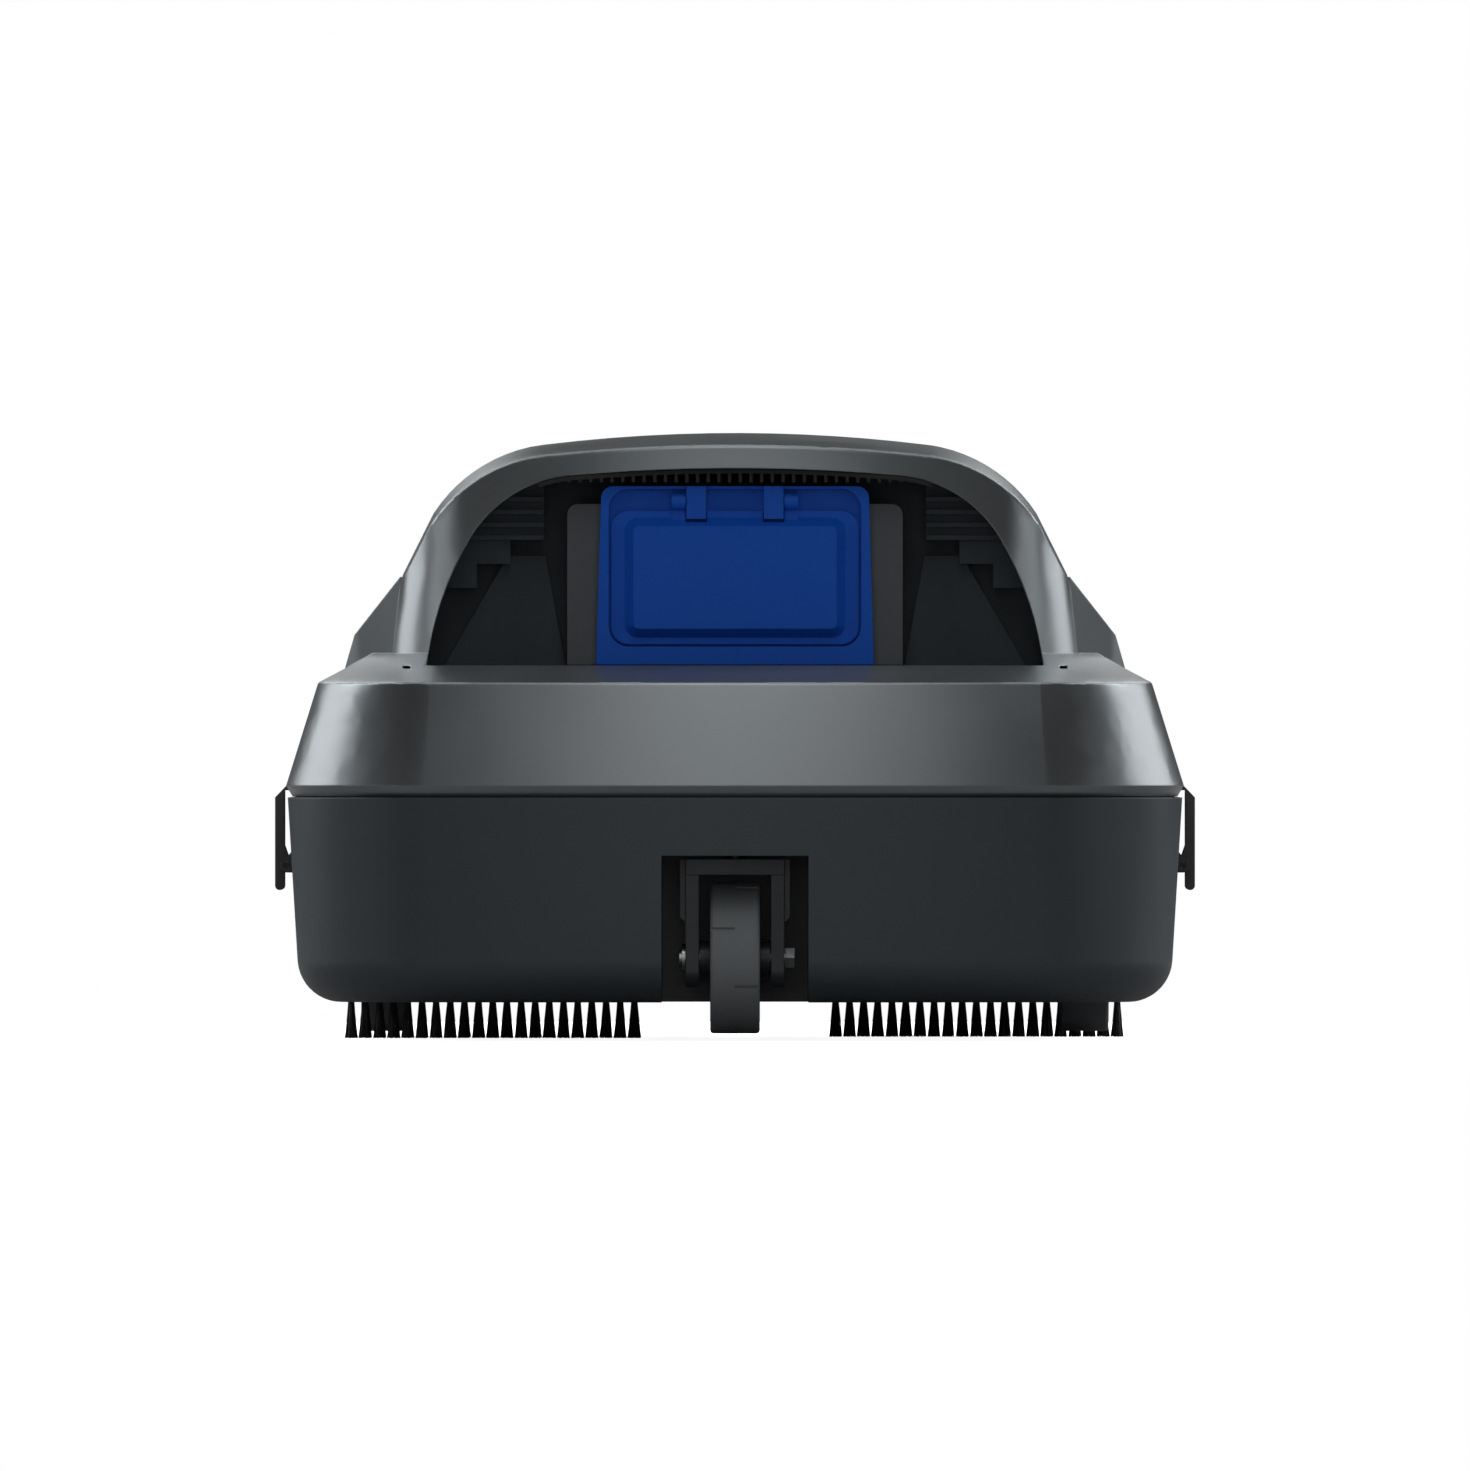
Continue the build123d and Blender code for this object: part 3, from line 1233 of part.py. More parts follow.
with BuildPart() as socket_cap:
    with BuildSketch(panel_plane.offset(cap_seat)):
        with Locations((CONTROL_SPACING, -CAP_DROP)):
            Circle(CAP_RADIUS)
        with Locations((CONTROL_SPACING, cap_hinge_y)):
            Rectangle(CAP_BARREL_LENGTH, CAP_RADIUS, align=(Align.CENTER, Align.MAX))
    extrude(amount=CAP_HEIGHT)
    add(cap_rod(CAP_BARREL_RADIUS, CAP_BARREL_LENGTH / 2))
    add(cap_rod(CAP_PIN_RADIUS + RUNNING_FIT, cap_pin_half), mode=Mode.SUBTRACT)
save(socket_cap, "socket_cap")

with BuildPart() as cap_pin:
    add(cap_rod(CAP_PIN_RADIUS, cap_pin_half))
save(cap_pin, "cap_pin")

# Charging lead, from the socket's back to the battery box
lead_start = panel_plane.from_local_coords((CONTROL_SPACING, 0, -SOCKET_DEPTH))
lead_turn = panel_plane.from_local_coords(
    (CONTROL_SPACING, 0, -SOCKET_DEPTH - CHARGE_LEAD_REACH)
)
with BuildPart() as charge_lead:
    with BuildLine():
        FilletPolyline(
            lead_start,
            lead_turn,
            (lead_turn.X, BOX_LENGTH / 2, lead_turn.Z),
            radius=CHARGE_LEAD_BEND,
        )
    with BuildSketch(Plane(lead_start, z_dir=-panel_plane.z_dir)):
        Circle(LEAD_RADIUS)
    sweep()
save(charge_lead, "charge_lead")


# Lower hull: an open tub with wheel wells, caster recess, inlet holes and latch ears
def hull_form(inset, floor_z, top_z):
    """Solid tub with a rounded bottom edge, drawn in by an inset."""
    with BuildPart() as tub:
        add(body_stack((floor_z, hull_inset(floor_z) + inset), (top_z, hull_inset(top_z) + inset)))
        fillet(
            tub.edges().filter_by_position(Axis.Z, floor_z, floor_z),
            HULL_EDGE_RADIUS - inset,
        )
    return tub.part


def wheel_well(radius, width):
    """Solid round wheel wells on both sides, around the axle line."""
    with BuildPart() as wells:
        with BuildSketch(Plane.YZ.offset(WHEEL_X - width / 2)):
            with Locations((0, WHEEL_CENTRE_Z)):
                Circle(radius)
        extrude(amount=width)
        mirror(about=LEFT_TO_RIGHT)
    return wells.part


def inlet_block(length, width, bottom, top):
    """Rounded upright blocks at both inlets."""
    with BuildPart() as blocks:
        with BuildSketch(Plane.XY.offset(bottom)):
            with Locations((INLET_X, INLET_Y), (-INLET_X, -INLET_Y)):
                RectangleRounded(length, width, INLET_RADIUS)
        extrude(amount=top - bottom)
    return blocks.part


def inlet_rod(radius, half_length):
    """Rods along the hinge lines of both inlet flaps."""
    with BuildPart() as rods:
        for side in (-1, 1):
            with BuildSketch(Plane.YZ.offset(side * INLET_X)):
                with Locations((side * (INLET_Y - INLET_HINGE_Y), INLET_HINGE_Z)):
                    Circle(radius)
            extrude(amount=half_length, both=True)
    return rods


def latch_rod(radius, half_length):
    """Rods along the pivot lines of both latches."""
    with BuildPart() as rods:
        with BuildSketch(Plane.XZ):
            with Locations((latch_pin_x, LATCH_PIN_Z), (-latch_pin_x, LATCH_PIN_Z)):
                Circle(radius)
        extrude(amount=half_length, both=True)
    return rods


hull_outside = hull_form(0, HULL_BOTTOM, HULL_TOP)
recess_centre_y = RECESS_LENGTH / 2 - BODY_LENGTH / 2
inlet_ear_x = (INLET_RIM_LENGTH + INLET_EAR_THICKNESS) / 2 + SLIP_FIT
inlet_pin_half = inlet_ear_x + INLET_EAR_THICKNESS / 2
inlet_ear_places = [
    (side * (INLET_X + way * inlet_ear_x), side * (INLET_Y - INLET_HINGE_Y))
    for side in (-1, 1)
    for way in (-1, 1)
]
latch_ear_y = LATCH_WIDTH / 2 + SLIP_FIT
latch_pin_half = latch_ear_y + LATCH_EAR_THICKNESS
brush_places = [(BRUSH_X, BRUSH_SHIFT), (-BRUSH_X, -BRUSH_SHIFT)]

with BuildPart() as hull_inserts:
    with BuildSketch(Plane.XY.offset(HULL_BOTTOM)):
        with Locations((0, recess_centre_y + WALL / 2)):
            Rectangle(RECESS_WIDTH + 2 * WALL, RECESS_LENGTH + WALL)
    extrude(amount=RECESS_HEIGHT + WALL)
    add(wheel_well(WELL_RADIUS + WALL, WELL_WIDTH + 2 * WALL))
    add(hull_outside, mode=Mode.INTERSECT)

with BuildPart() as latch_ears:
    with BuildSketch(rear_plane(latch_ear_y)):
        with BuildLine():
            Polyline(
                (hull_side - WALL / 2, LATCH_PIN_Z - LATCH_EAR_RADIUS),
                (latch_pin_x, LATCH_PIN_Z - LATCH_EAR_RADIUS),
                (latch_pin_x + LATCH_EAR_RADIUS, LATCH_PIN_Z),
                (hull_side - WALL / 2, LATCH_PIN_Z + LATCH_EAR_HEIGHT),
                close=True,
            )
        make_face()
        with Locations((latch_pin_x, LATCH_PIN_Z)):
            Circle(LATCH_EAR_RADIUS)
    extrude(amount=LATCH_EAR_THICKNESS)
    mirror(about=REAR_TO_FRONT)
    mirror(about=LEFT_TO_RIGHT)

with BuildPart() as lower_hull:
    add(hull_outside)
    add(hull_form(WALL, FLOOR_TOP, HULL_TOP + WALL), mode=Mode.SUBTRACT)
    rim_bottom = HULL_TOP - RIM_HEIGHT
    rim_inner = TONGUE_INSET + TONGUE_THICKNESS
    add(hull_ring(rim_bottom, HULL_TOP, HULL_TOP_INSET + WALL / 2, rim_inner))
    add(hull_ring(rim_bottom, HULL_TOP + TONGUE_HEIGHT, TONGUE_INSET, rim_inner))
    ledge_outer = hull_inset(FILTER_LEDGE_Z) + WALL / 2
    ledge_inner = FILTER_INSET + FILTER_LEDGE_WIDTH
    add(hull_ring(FILTER_LEDGE_Z, FILTER_Z, ledge_outer, ledge_inner))
    add(hull_inserts.part)
    add(latch_ears.part)
    with BuildSketch(Plane.XY.offset(RECESS_TOP + WALL / 2)):
        with Locations((0, -CASTER_Y)):
            Circle(KING_BOSS_RADIUS)
    extrude(amount=KING_BOSS_TOP - RECESS_TOP - WALL / 2)
    inlet_hole = inlet_block(
        INLET_RIM_LENGTH + 2 * SCREW_FIT, INLET_RIM_WIDTH + 2 * SCREW_FIT, 0, CHIMNEY_TOP
    )
    add(inlet_hole, mode=Mode.SUBTRACT)
    add(latch_rod(LATCH_PIN_RADIUS + SCREW_FIT, latch_pin_half).part, mode=Mode.SUBTRACT)
    add(wheel_well(WELL_RADIUS, WELL_WIDTH), mode=Mode.SUBTRACT)
    add(wheel_well(AXLE_RADIUS + SCREW_FIT, WELL_WIDTH + 2 * WALL), mode=Mode.SUBTRACT)
    with BuildSketch():
        with Locations((0, recess_centre_y)):
            Rectangle(RECESS_WIDTH, RECESS_LENGTH)
    extrude(amount=RECESS_TOP, mode=Mode.SUBTRACT)
    with BuildSketch(Plane.XY.offset(RECESS_TOP)):
        with Locations((0, -CASTER_Y)):
            Circle(KING_PIN_RADIUS + RUNNING_FIT)
    extrude(amount=KING_BOSS_TOP - RECESS_TOP, mode=Mode.SUBTRACT)
    with BuildSketch(Plane.XY.offset(HULL_BOTTOM)):
        with Locations(*brush_places):
            Rectangle(BRUSH_BAR_LENGTH + 2 * SCREW_FIT, BRUSH_BAR_WIDTH + 2 * SCREW_FIT)
    extrude(amount=BRUSH_BAR_HEIGHT, mode=Mode.SUBTRACT)
save(lower_hull, "lower_hull")

# Inlet throats: a flanged chimney through the floor at each inlet, with the flap's ears
throat_width = 2 * (INLET_HINGE_Y + INLET_BARREL_RADIUS)
with BuildPart() as inlet_throats:
    add(inlet_block(INLET_RIM_LENGTH, INLET_RIM_WIDTH, HULL_BOTTOM, CHIMNEY_TOP))
    add(inlet_block(2 * inlet_pin_half, throat_width, FLOOR_TOP, FLOOR_TOP + THROAT_FLANGE))
    with BuildSketch(Plane.XY.offset(FLOOR_TOP)):
        with Locations(*inlet_ear_places):
            Rectangle(INLET_EAR_THICKNESS, 2 * INLET_BARREL_RADIUS)
    extrude(amount=INLET_HINGE_Z + INLET_BARREL_RADIUS - FLOOR_TOP)
    add(inlet_block(INLET_LENGTH, INLET_WIDTH, 0, CHIMNEY_TOP), mode=Mode.SUBTRACT)
    add(inlet_rod(INLET_PIN_RADIUS + SCREW_FIT, inlet_pin_half).part, mode=Mode.SUBTRACT)
save(inlet_throats, "inlet_throats")

# Seam gasket on the hull's rim
gasket_outer = BAND_INSET + GASKET_SETBACK
with BuildPart() as seam_gasket:
    add(hull_ring(HULL_TOP, SHELL_BOTTOM, gasket_outer, gasket_outer + GASKET_WIDTH))
save(seam_gasket, "seam_gasket")

# Latches and their pins
with BuildPart() as latch_right:
    with BuildSketch(Plane.XZ) as latch_profile:
        with BuildLine():
            Polyline(
                (latch_inner, latch_nose_bottom),
                (latch_nose_x, latch_nose_bottom),
                (latch_nose_x, latch_nose_top - LATCH_NOSE_LEAD),
                (latch_nose_x + LATCH_NOSE_LEAD, latch_nose_top),
                (BODY_WIDTH / 2, latch_nose_top),
                (latch_outer, latch_nose_top - LATCH_CHAMFER),
                (latch_outer, latch_bottom),
                (latch_inner, latch_bottom),
                close=True,
            )
        make_face()
        fillet(
            latch_profile.vertices().group_by(Axis.Y)[0], LATCH_THICKNESS / 2 - SCREW_FIT
        )
        with BuildLine():
            Polyline(
                (latch_inner, LATCH_PIN_Z + LATCH_WEDGE_HEIGHT),
                (latch_pin_x - LATCH_BARREL_RADIUS / 2, LATCH_PIN_Z + LATCH_BARREL_RADIUS / 2),
                (latch_pin_x, LATCH_PIN_Z),
                (latch_inner + LATCH_THICKNESS / 2, LATCH_PIN_Z),
                close=True,
            )
        make_face()
        with Locations((latch_pin_x, LATCH_PIN_Z)):
            Circle(LATCH_BARREL_RADIUS)
    extrude(amount=LATCH_WIDTH / 2, both=True)
    add(latch_rod(LATCH_PIN_RADIUS + RUNNING_FIT, LATCH_WIDTH).part, mode=Mode.SUBTRACT)
latch_left = mirrored(latch_right, LEFT_TO_RIGHT)
save(latch_right, "latch_right")
save(latch_left, "latch_left")

latch_pins = latch_rod(LATCH_PIN_RADIUS, latch_pin_half)
save(latch_pins, "latch_pins")


# Wheels
def wheel_hub(boss_half):
    """Hub centred on the origin, its axle along X."""
    with BuildPart(Plane.YZ) as hub:
        Cylinder(WHEEL_RADIUS - TYRE_THICKNESS, WHEEL_WIDTH)
        with PolarLocations((HUB_BOSS_RADIUS + WHEEL_RADIUS - TYRE_THICKNESS) / 2, HUB_HOLES):
            Cylinder(HUB_HOLE_RADIUS, WHEEL_WIDTH, mode=Mode.SUBTRACT)
        Cylinder(HUB_BOSS_RADIUS, 2 * boss_half)
        Cylinder(AXLE_RADIUS + RUNNING_FIT, 2 * boss_half, mode=Mode.SUBTRACT)
    return hub.part


def wheel_tyre():
    """Tyre centred on the origin, with staggered cross grooves."""
    groove_middle = WHEEL_WIDTH / 4
    stagger = 360 / TREAD_GROOVES / 2
    with BuildPart(Plane.YZ) as tyre:
        Cylinder(WHEEL_RADIUS, WHEEL_WIDTH)
        fillet(tyre.edges(), TYRE_EDGE_RADIUS)
        Cylinder(WHEEL_RADIUS - TYRE_THICKNESS, WHEEL_WIDTH, mode=Mode.SUBTRACT)
        for side in (-1, 1):
            with Locations((0, 0, side * groove_middle)):
                with PolarLocations(WHEEL_RADIUS, TREAD_GROOVES, start_angle=side * stagger / 2):
                    Box(
                        2 * TREAD_GROOVE_DEPTH,
                        TREAD_GROOVE_WIDTH,
                        WHEEL_WIDTH / 2,
                        mode=Mode.SUBTRACT,
                    )
    return tyre.part


def placed(piece, place):
    """A piece moved from the origin to its place."""
    with BuildPart() as moved:
        with Locations(place):
            add(piece)
    return moved


well_boss_half = WELL_WIDTH / 2 - SLIP_FIT
fork_boss_half = FORK_INNER_WIDTH / 2 - SLIP_FIT
for side_name, side in (("left", -1), ("right", 1)):
    wheel_place = (side * WHEEL_X, 0, WHEEL_CENTRE_Z)
    save(placed(wheel_hub(well_boss_half), wheel_place), f"wheel_hub_{side_name}")
    save(placed(wheel_tyre(), wheel_place), f"wheel_tyre_{side_name}")
caster_place = (0, -CASTER_Y, WHEEL_CENTRE_Z)
save(placed(wheel_hub(fork_boss_half), caster_place), "caster_hub")
save(placed(wheel_tyre(), caster_place), "caster_tyre")

with BuildPart() as wheel_axles:
    add(wheel_well(AXLE_RADIUS, WELL_WIDTH + 2 * WALL))
save(wheel_axles, "wheel_axles")

# Caster fork, its king pin, axle and clips
arm_bottom = WHEEL_CENTRE_Z - FORK_ARM_DROP
with BuildPart() as caster_fork:
    with BuildSketch(Plane.YZ.offset(FORK_INNER_WIDTH / 2)) as arm:
        with Locations((-CASTER_Y, arm_bottom)):
            Rectangle(FORK_ARM_LENGTH, FORK_TOP - arm_bottom, align=(Align.CENTER, Align.MIN))
        fillet(arm.vertices().group_by(Axis.Y)[0], FORK_ARM_RADIUS)
    extrude(amount=FORK_ARM_THICKNESS)
    with BuildSketch(Plane.YZ.offset(FORK_OUTER_WIDTH / 2)):
        with Locations((-CASTER_Y, FORK_TOP)):
            Rectangle(FORK_FLANGE_LENGTH, FORK_FLANGE_HEIGHT, align=(Align.CENTER, Align.MAX))
    extrude(amount=FORK_FLANGE_THICKNESS)
    foot_edge = caster_fork.edges().filter_by(Axis.Y).group_by(Axis.X)[-1].sort_by(Axis.Z)[0]
    chamfer(foot_edge, FORK_FLANGE_CHAMFER)
    mirror(about=LEFT_TO_RIGHT)
    with BuildSketch(Plane.XY.offset(FORK_TOP)):
        with Locations((0, -CASTER_Y)):
            Rectangle(FORK_OUTER_WIDTH, FORK_ARM_LENGTH + FORK_ARM_THICKNESS)
    extrude(amount=-FORK_BRIDGE_THICKNESS)
    with BuildSketch(Plane.XY.offset(FORK_TOP)):
        with Locations((0, -CASTER_Y)):
            Circle(KING_PIN_RADIUS)
    extrude(amount=-FORK_BRIDGE_THICKNESS, mode=Mode.SUBTRACT)
    with BuildSketch(Plane.YZ):
        with Locations((-CASTER_Y, WHEEL_CENTRE_Z)):
            Circle(AXLE_RADIUS + SCREW_FIT)
    extrude(amount=FORK_OUTER_WIDTH, both=True, mode=Mode.SUBTRACT)
save(caster_fork, "caster_fork")

clip_bottom = KING_BOSS_TOP + CLIP_GAP
with BuildPart() as king_pin:
    with BuildSketch(Plane.XY.offset(FORK_TOP - FORK_BRIDGE_THICKNESS)):
        with Locations((0, -CASTER_Y)):
            Circle(KING_PIN_RADIUS)
    extrude(amount=clip_bottom + 2 * CLIP_THICKNESS - FORK_TOP + FORK_BRIDGE_THICKNESS)
save(king_pin, "king_pin")

with BuildPart() as king_clip:
    with BuildSketch(Plane.XY.offset(clip_bottom)):
        with Locations((0, -CASTER_Y)):
            Circle(KING_CLIP_RADIUS)
            Circle(KING_PIN_RADIUS, mode=Mode.SUBTRACT)
    extrude(amount=CLIP_THICKNESS)
save(king_clip, "king_clip")

fork_side = FORK_OUTER_WIDTH / 2
with BuildPart() as caster_axle:
    with BuildSketch(Plane.YZ.offset(-fork_side - 2 * CLIP_THICKNESS)):
        with Locations((-CASTER_Y, WHEEL_CENTRE_Z)):
            Circle(AXLE_RADIUS)
    extrude(amount=FORK_OUTER_WIDTH + 2 * CLIP_THICKNESS + CLIP_GAP)
    with BuildSketch(Plane.YZ.offset(fork_side + CLIP_GAP)):
        with Locations((-CASTER_Y, WHEEL_CENTRE_Z)):
            RegularPolygon(AXLE_HEAD_RADIUS, AXLE_HEAD_SIDES)
    extrude(amount=AXLE_HEAD_LENGTH)
save(caster_axle, "caster_axle")

with BuildPart() as axle_clip:
    with BuildSketch(Plane.YZ.offset(-fork_side - CLIP_GAP)):
        with Locations((-CASTER_Y, WHEEL_CENTRE_Z)):
            Circle(AXLE_CLIP_RADIUS)
            Circle(AXLE_RADIUS, mode=Mode.SUBTRACT)
    extrude(amount=-CLIP_THICKNESS)
save(axle_clip, "axle_clip")


# Brush strips: tufts of flaring strands on a bar let into the hull's bottom
def strand(column, row):
    """One four-sided strand of a tuft, from inside its bar down to the ground."""
    with BuildPart() as bristle:
        with BuildSketch():
            with Locations((column * STRAND_TIP_PITCH, row * STRAND_TIP_PITCH)):
                Rectangle(STRAND_TIP_WIDTH, STRAND_TIP_WIDTH)
        with BuildSketch(Plane.XY.offset(HULL_BOTTOM + STRAND_EMBED)):
            with Locations((column * STRAND_ROOT_PITCH, row * STRAND_ROOT_PITCH)):
                Rectangle(STRAND_ROOT_WIDTH, STRAND_ROOT_WIDTH)
        loft(ruled=True)
    return bristle.part


strand_steps = [index - (STRAND_ROWS - 1) / 2 for index in range(STRAND_ROWS)]
tuft = [strand(column, row) for column in strand_steps for row in strand_steps]
for side_name, (brush_x, brush_y) in zip(("right", "left"), brush_places):
    with BuildPart() as brush:
        with BuildSketch(Plane.XY.offset(HULL_BOTTOM)):
            with Locations((brush_x, brush_y)):
                Rectangle(BRUSH_BAR_LENGTH, BRUSH_BAR_WIDTH)
        extrude(amount=BRUSH_BAR_HEIGHT)
        with Locations((brush_x, brush_y)):
            with GridLocations(TUFT_PITCH, 1, TUFTS, 1):
                add(tuft)
    save(brush, f"brush_{side_name}")

# Inlet flaps and their pins
flap_low = CHIMNEY_TOP + SLIP_FIT
flap_reach = INLET_HINGE_Y + INLET_RIM_WIDTH / 2
with BuildPart() as inlet_flap_right:
    with BuildSketch(Plane.XY.offset(flap_low)):
        with Locations((INLET_X, INLET_Y - INLET_HINGE_Y)):
            Rectangle(INLET_RIM_LENGTH, flap_reach, align=(Align.CENTER, Align.MIN))
    extrude(amount=INLET_FLAP_THICKNESS)
    with BuildSketch(Plane.YZ.offset(INLET_X)):
        with Locations((INLET_Y - INLET_HINGE_Y, INLET_HINGE_Z)):
            Circle(INLET_BARREL_RADIUS)
    extrude(amount=INLET_RIM_LENGTH / 2, both=True)
    add(inlet_rod(INLET_PIN_RADIUS + RUNNING_FIT, inlet_pin_half).part, mode=Mode.SUBTRACT)
with BuildPart() as inlet_flap_left:
    add(inlet_flap_right.part, rotation=(0, 0, 180))
save(inlet_flap_right, "inlet_flap_right")
save(inlet_flap_left, "inlet_flap_left")

inlet_pins = inlet_rod(INLET_PIN_RADIUS, inlet_pin_half)
save(inlet_pins, "inlet_pins")

# Filter frame, on the hull's ledge and pegged under the chassis plate, and its mesh
frame_inner = FILTER_INSET + FILTER_FRAME_WIDTH
mesh_inset = frame_inner + SLIP_FIT
with BuildPart() as filter_frame:
    add(hull_ring(FILTER_Z, FILTER_Z + FILTER_FRAME_HEIGHT, FILTER_INSET, frame_inner))
    with BuildSketch(Plane.XY.offset(FILTER_Z + FILTER_FRAME_HEIGHT / 2)):
        Rectangle(BODY_WIDTH - 2 * frame_inner + FILTER_BAR_WIDTH, FILTER_BAR_WIDTH)
        Rectangle(FILTER_BAR_WIDTH, BODY_LENGTH - 2 * frame_inner + FILTER_BAR_WIDTH)
    extrude(amount=FILTER_FRAME_HEIGHT / 2)
    with BuildSketch(Plane.XY.offset(FILTER_Z + FILTER_FRAME_HEIGHT)):
        with Locations(*filter_post_places):
            Circle(FILTER_POST_RADIUS)
    extrude(amount=CHASSIS_BOTTOM - FILTER_Z - FILTER_FRAME_HEIGHT)
    with BuildSketch(Plane.XY.offset(CHASSIS_BOTTOM)):
        with Locations(*filter_post_places):
            Circle(FILTER_PEG_RADIUS)
    extrude(amount=CHASSIS_THICKNESS + FILTER_PEG_PROUD)
save(filter_frame, "filter_frame")

mesh_pitch_x = (BODY_WIDTH - 2 * mesh_inset) / FILTER_MESH_COLUMNS
mesh_pitch_y = (BODY_LENGTH - 2 * mesh_inset) / FILTER_MESH_ROWS
mesh_top = FILTER_Z + FILTER_FRAME_HEIGHT / 2 - SLIP_FIT
with BuildSketch() as mesh_gaps:
    with GridLocations(mesh_pitch_x, mesh_pitch_y, FILTER_MESH_COLUMNS, FILTER_MESH_ROWS):
        Rectangle(mesh_pitch_x - FILTER_MESH_BAR, mesh_pitch_y - FILTER_MESH_BAR)
    add(body_outline(mesh_inset + 2 * FILTER_MESH_BAR), mode=Mode.INTERSECT)
with BuildPart() as filter_mesh:
    with BuildSketch(Plane.XY.offset(mesh_top)):
        add(body_outline(mesh_inset))
        add(mesh_gaps.sketch, mode=Mode.SUBTRACT)
    extrude(amount=-FILTER_MESH_THICKNESS)
save(filter_mesh, "filter_mesh")
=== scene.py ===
import math
import random

import bmesh
import bpy
from bpy.props import FloatProperty, FloatVectorProperty, IntProperty, PointerProperty
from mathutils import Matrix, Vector


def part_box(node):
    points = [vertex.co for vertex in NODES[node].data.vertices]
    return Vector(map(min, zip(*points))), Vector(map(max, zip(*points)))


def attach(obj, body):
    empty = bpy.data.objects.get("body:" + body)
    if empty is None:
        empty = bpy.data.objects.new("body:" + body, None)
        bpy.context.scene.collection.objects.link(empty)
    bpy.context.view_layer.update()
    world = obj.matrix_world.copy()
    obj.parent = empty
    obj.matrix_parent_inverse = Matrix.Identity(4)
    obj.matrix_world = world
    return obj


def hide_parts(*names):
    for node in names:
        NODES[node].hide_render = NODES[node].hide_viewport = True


bl_info = {
    "name": "Pool cleaner",
    "version": (1, 0, 0),
    "blender": (4, 5, 0),
    "location": "3D View > Sidebar > Pool cleaner",
    "description": "Dresses the packed pool cleaner and sets its studio",
    "category": "Object",
}

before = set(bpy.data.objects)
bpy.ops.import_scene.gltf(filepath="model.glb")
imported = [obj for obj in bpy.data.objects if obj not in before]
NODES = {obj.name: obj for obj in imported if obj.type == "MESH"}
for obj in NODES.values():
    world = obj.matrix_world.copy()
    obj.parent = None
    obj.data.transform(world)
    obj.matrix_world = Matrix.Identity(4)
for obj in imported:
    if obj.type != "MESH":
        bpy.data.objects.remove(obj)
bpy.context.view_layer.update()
MM = 0.001


def linear(code):
    """An sRGB hex colour as linear red, green and blue."""
    channels = [int(code[place : place + 2], 16) / 255 for place in (1, 3, 5)]
    return [c / 12.92 if c <= 0.04045 else ((c + 0.055) / 1.055) ** 2.4 for c in channels]


def colour(name, words, code):
    """A colour setting with its default as a hex value."""
    return FloatVectorProperty(
        name=name, description=words, subtype="COLOR", size=3, min=0, max=1, default=linear(code)
    )


def measure(name, words, metres):
    """A length setting."""
    return FloatProperty(name=name, description=words, default=metres, unit="LENGTH")


def power(name, words, watts):
    """A light's power setting."""
    return FloatProperty(name=name, description=words, default=watts, unit="POWER")


class CleanerColours(bpy.types.PropertyGroup):
    """Colours of the cleaner's visible pieces."""

    cover: colour("Cover", "Metallic paint of the cover", "#7A7F82")
    hull: colour("Hull", "Plastic of the tub", "#2D353B")
    liner: colour("Liner", "Plastic of the recesses behind the arches", "#3C4349")
    duct: colour("Duct", "Plastic of the outlet ducts", "#4D5255")
    outlet: colour("Outlet", "Plastic of the outlet frames and flaps", "#1555BF")
    tyre: colour("Tyre", "Rubber of the tyres", "#696E71")
    bristle: colour("Bristle", "Nylon of the brush strips", "#242321")
    floor: colour("Floor", "Paper of the studio floor", "#F4F4F4")


class CleanerSizes(bpy.types.PropertyGroup):
    """Sizes of the pieces that are made here."""

    tufts: IntProperty(name="Tufts", description="Tufts in each brush strip", default=21, min=1)
    filaments: IntProperty(
        name="Filaments", description="Filaments in each tuft", default=104, min=4
    )
    filament: measure("Filament", "Diameter of a filament", 0.42 * MM)
    tuft_pitch: measure("Tuft pitch", "Distance between tufts", 5.32 * MM)
    tuft_root: measure("Tuft root", "Radius of a tuft in its bar", 1.0 * MM)
    tuft_tip: measure("Tuft tip", "Radius of a tuft on the ground", 2.9 * MM)
    net_pitch: measure("Net pitch", "Distance between the net's threads", 4.0 * MM)
    net_thread: measure("Net thread", "Thickness of the net's threads", 0.36 * MM)


class CleanerStage(bpy.types.PropertyGroup):
    """The studio's camera and lights."""

    distance: measure("Distance", "From the camera to the cleaner", 20.0)
    picture_width: measure("Picture width", "Width of the picture at the cleaner", 0.5539)
    eye_height: measure("Eye height", "Height of the camera", 0.1138)
    top_power: power("Top light", "Power of the light above", 7.2)
    eye_power: power("Eye light", "Power of the light at the camera's height", 1.7)
    brow_power: power("Brow light", "Power of the light just over the camera", 0.95)
    front_power: power("Front light", "Power of the light high over the camera", 3.3)
    over_power: power("Over light", "Power of the light between front and top", 0.8)
    pillar_power: power("Pillar lights", "Power of each low light at the camera's sides", 2.4)
    side_power: power("Side lights", "Power of each tall light at the sides", 11.0)
    rim_power: power("Rim lights", "Power of each wide light just behind the sides", 10.5)
    back_power: power("Back lights", "Power of each light behind the cleaner", 5.0)


class CleanerSettings(bpy.types.PropertyGroup):
    """All settings of the pool cleaner."""

    colours: PointerProperty(type=CleanerColours)
    sizes: PointerProperty(type=CleanerSizes)
    stage: PointerProperty(type=CleanerStage)


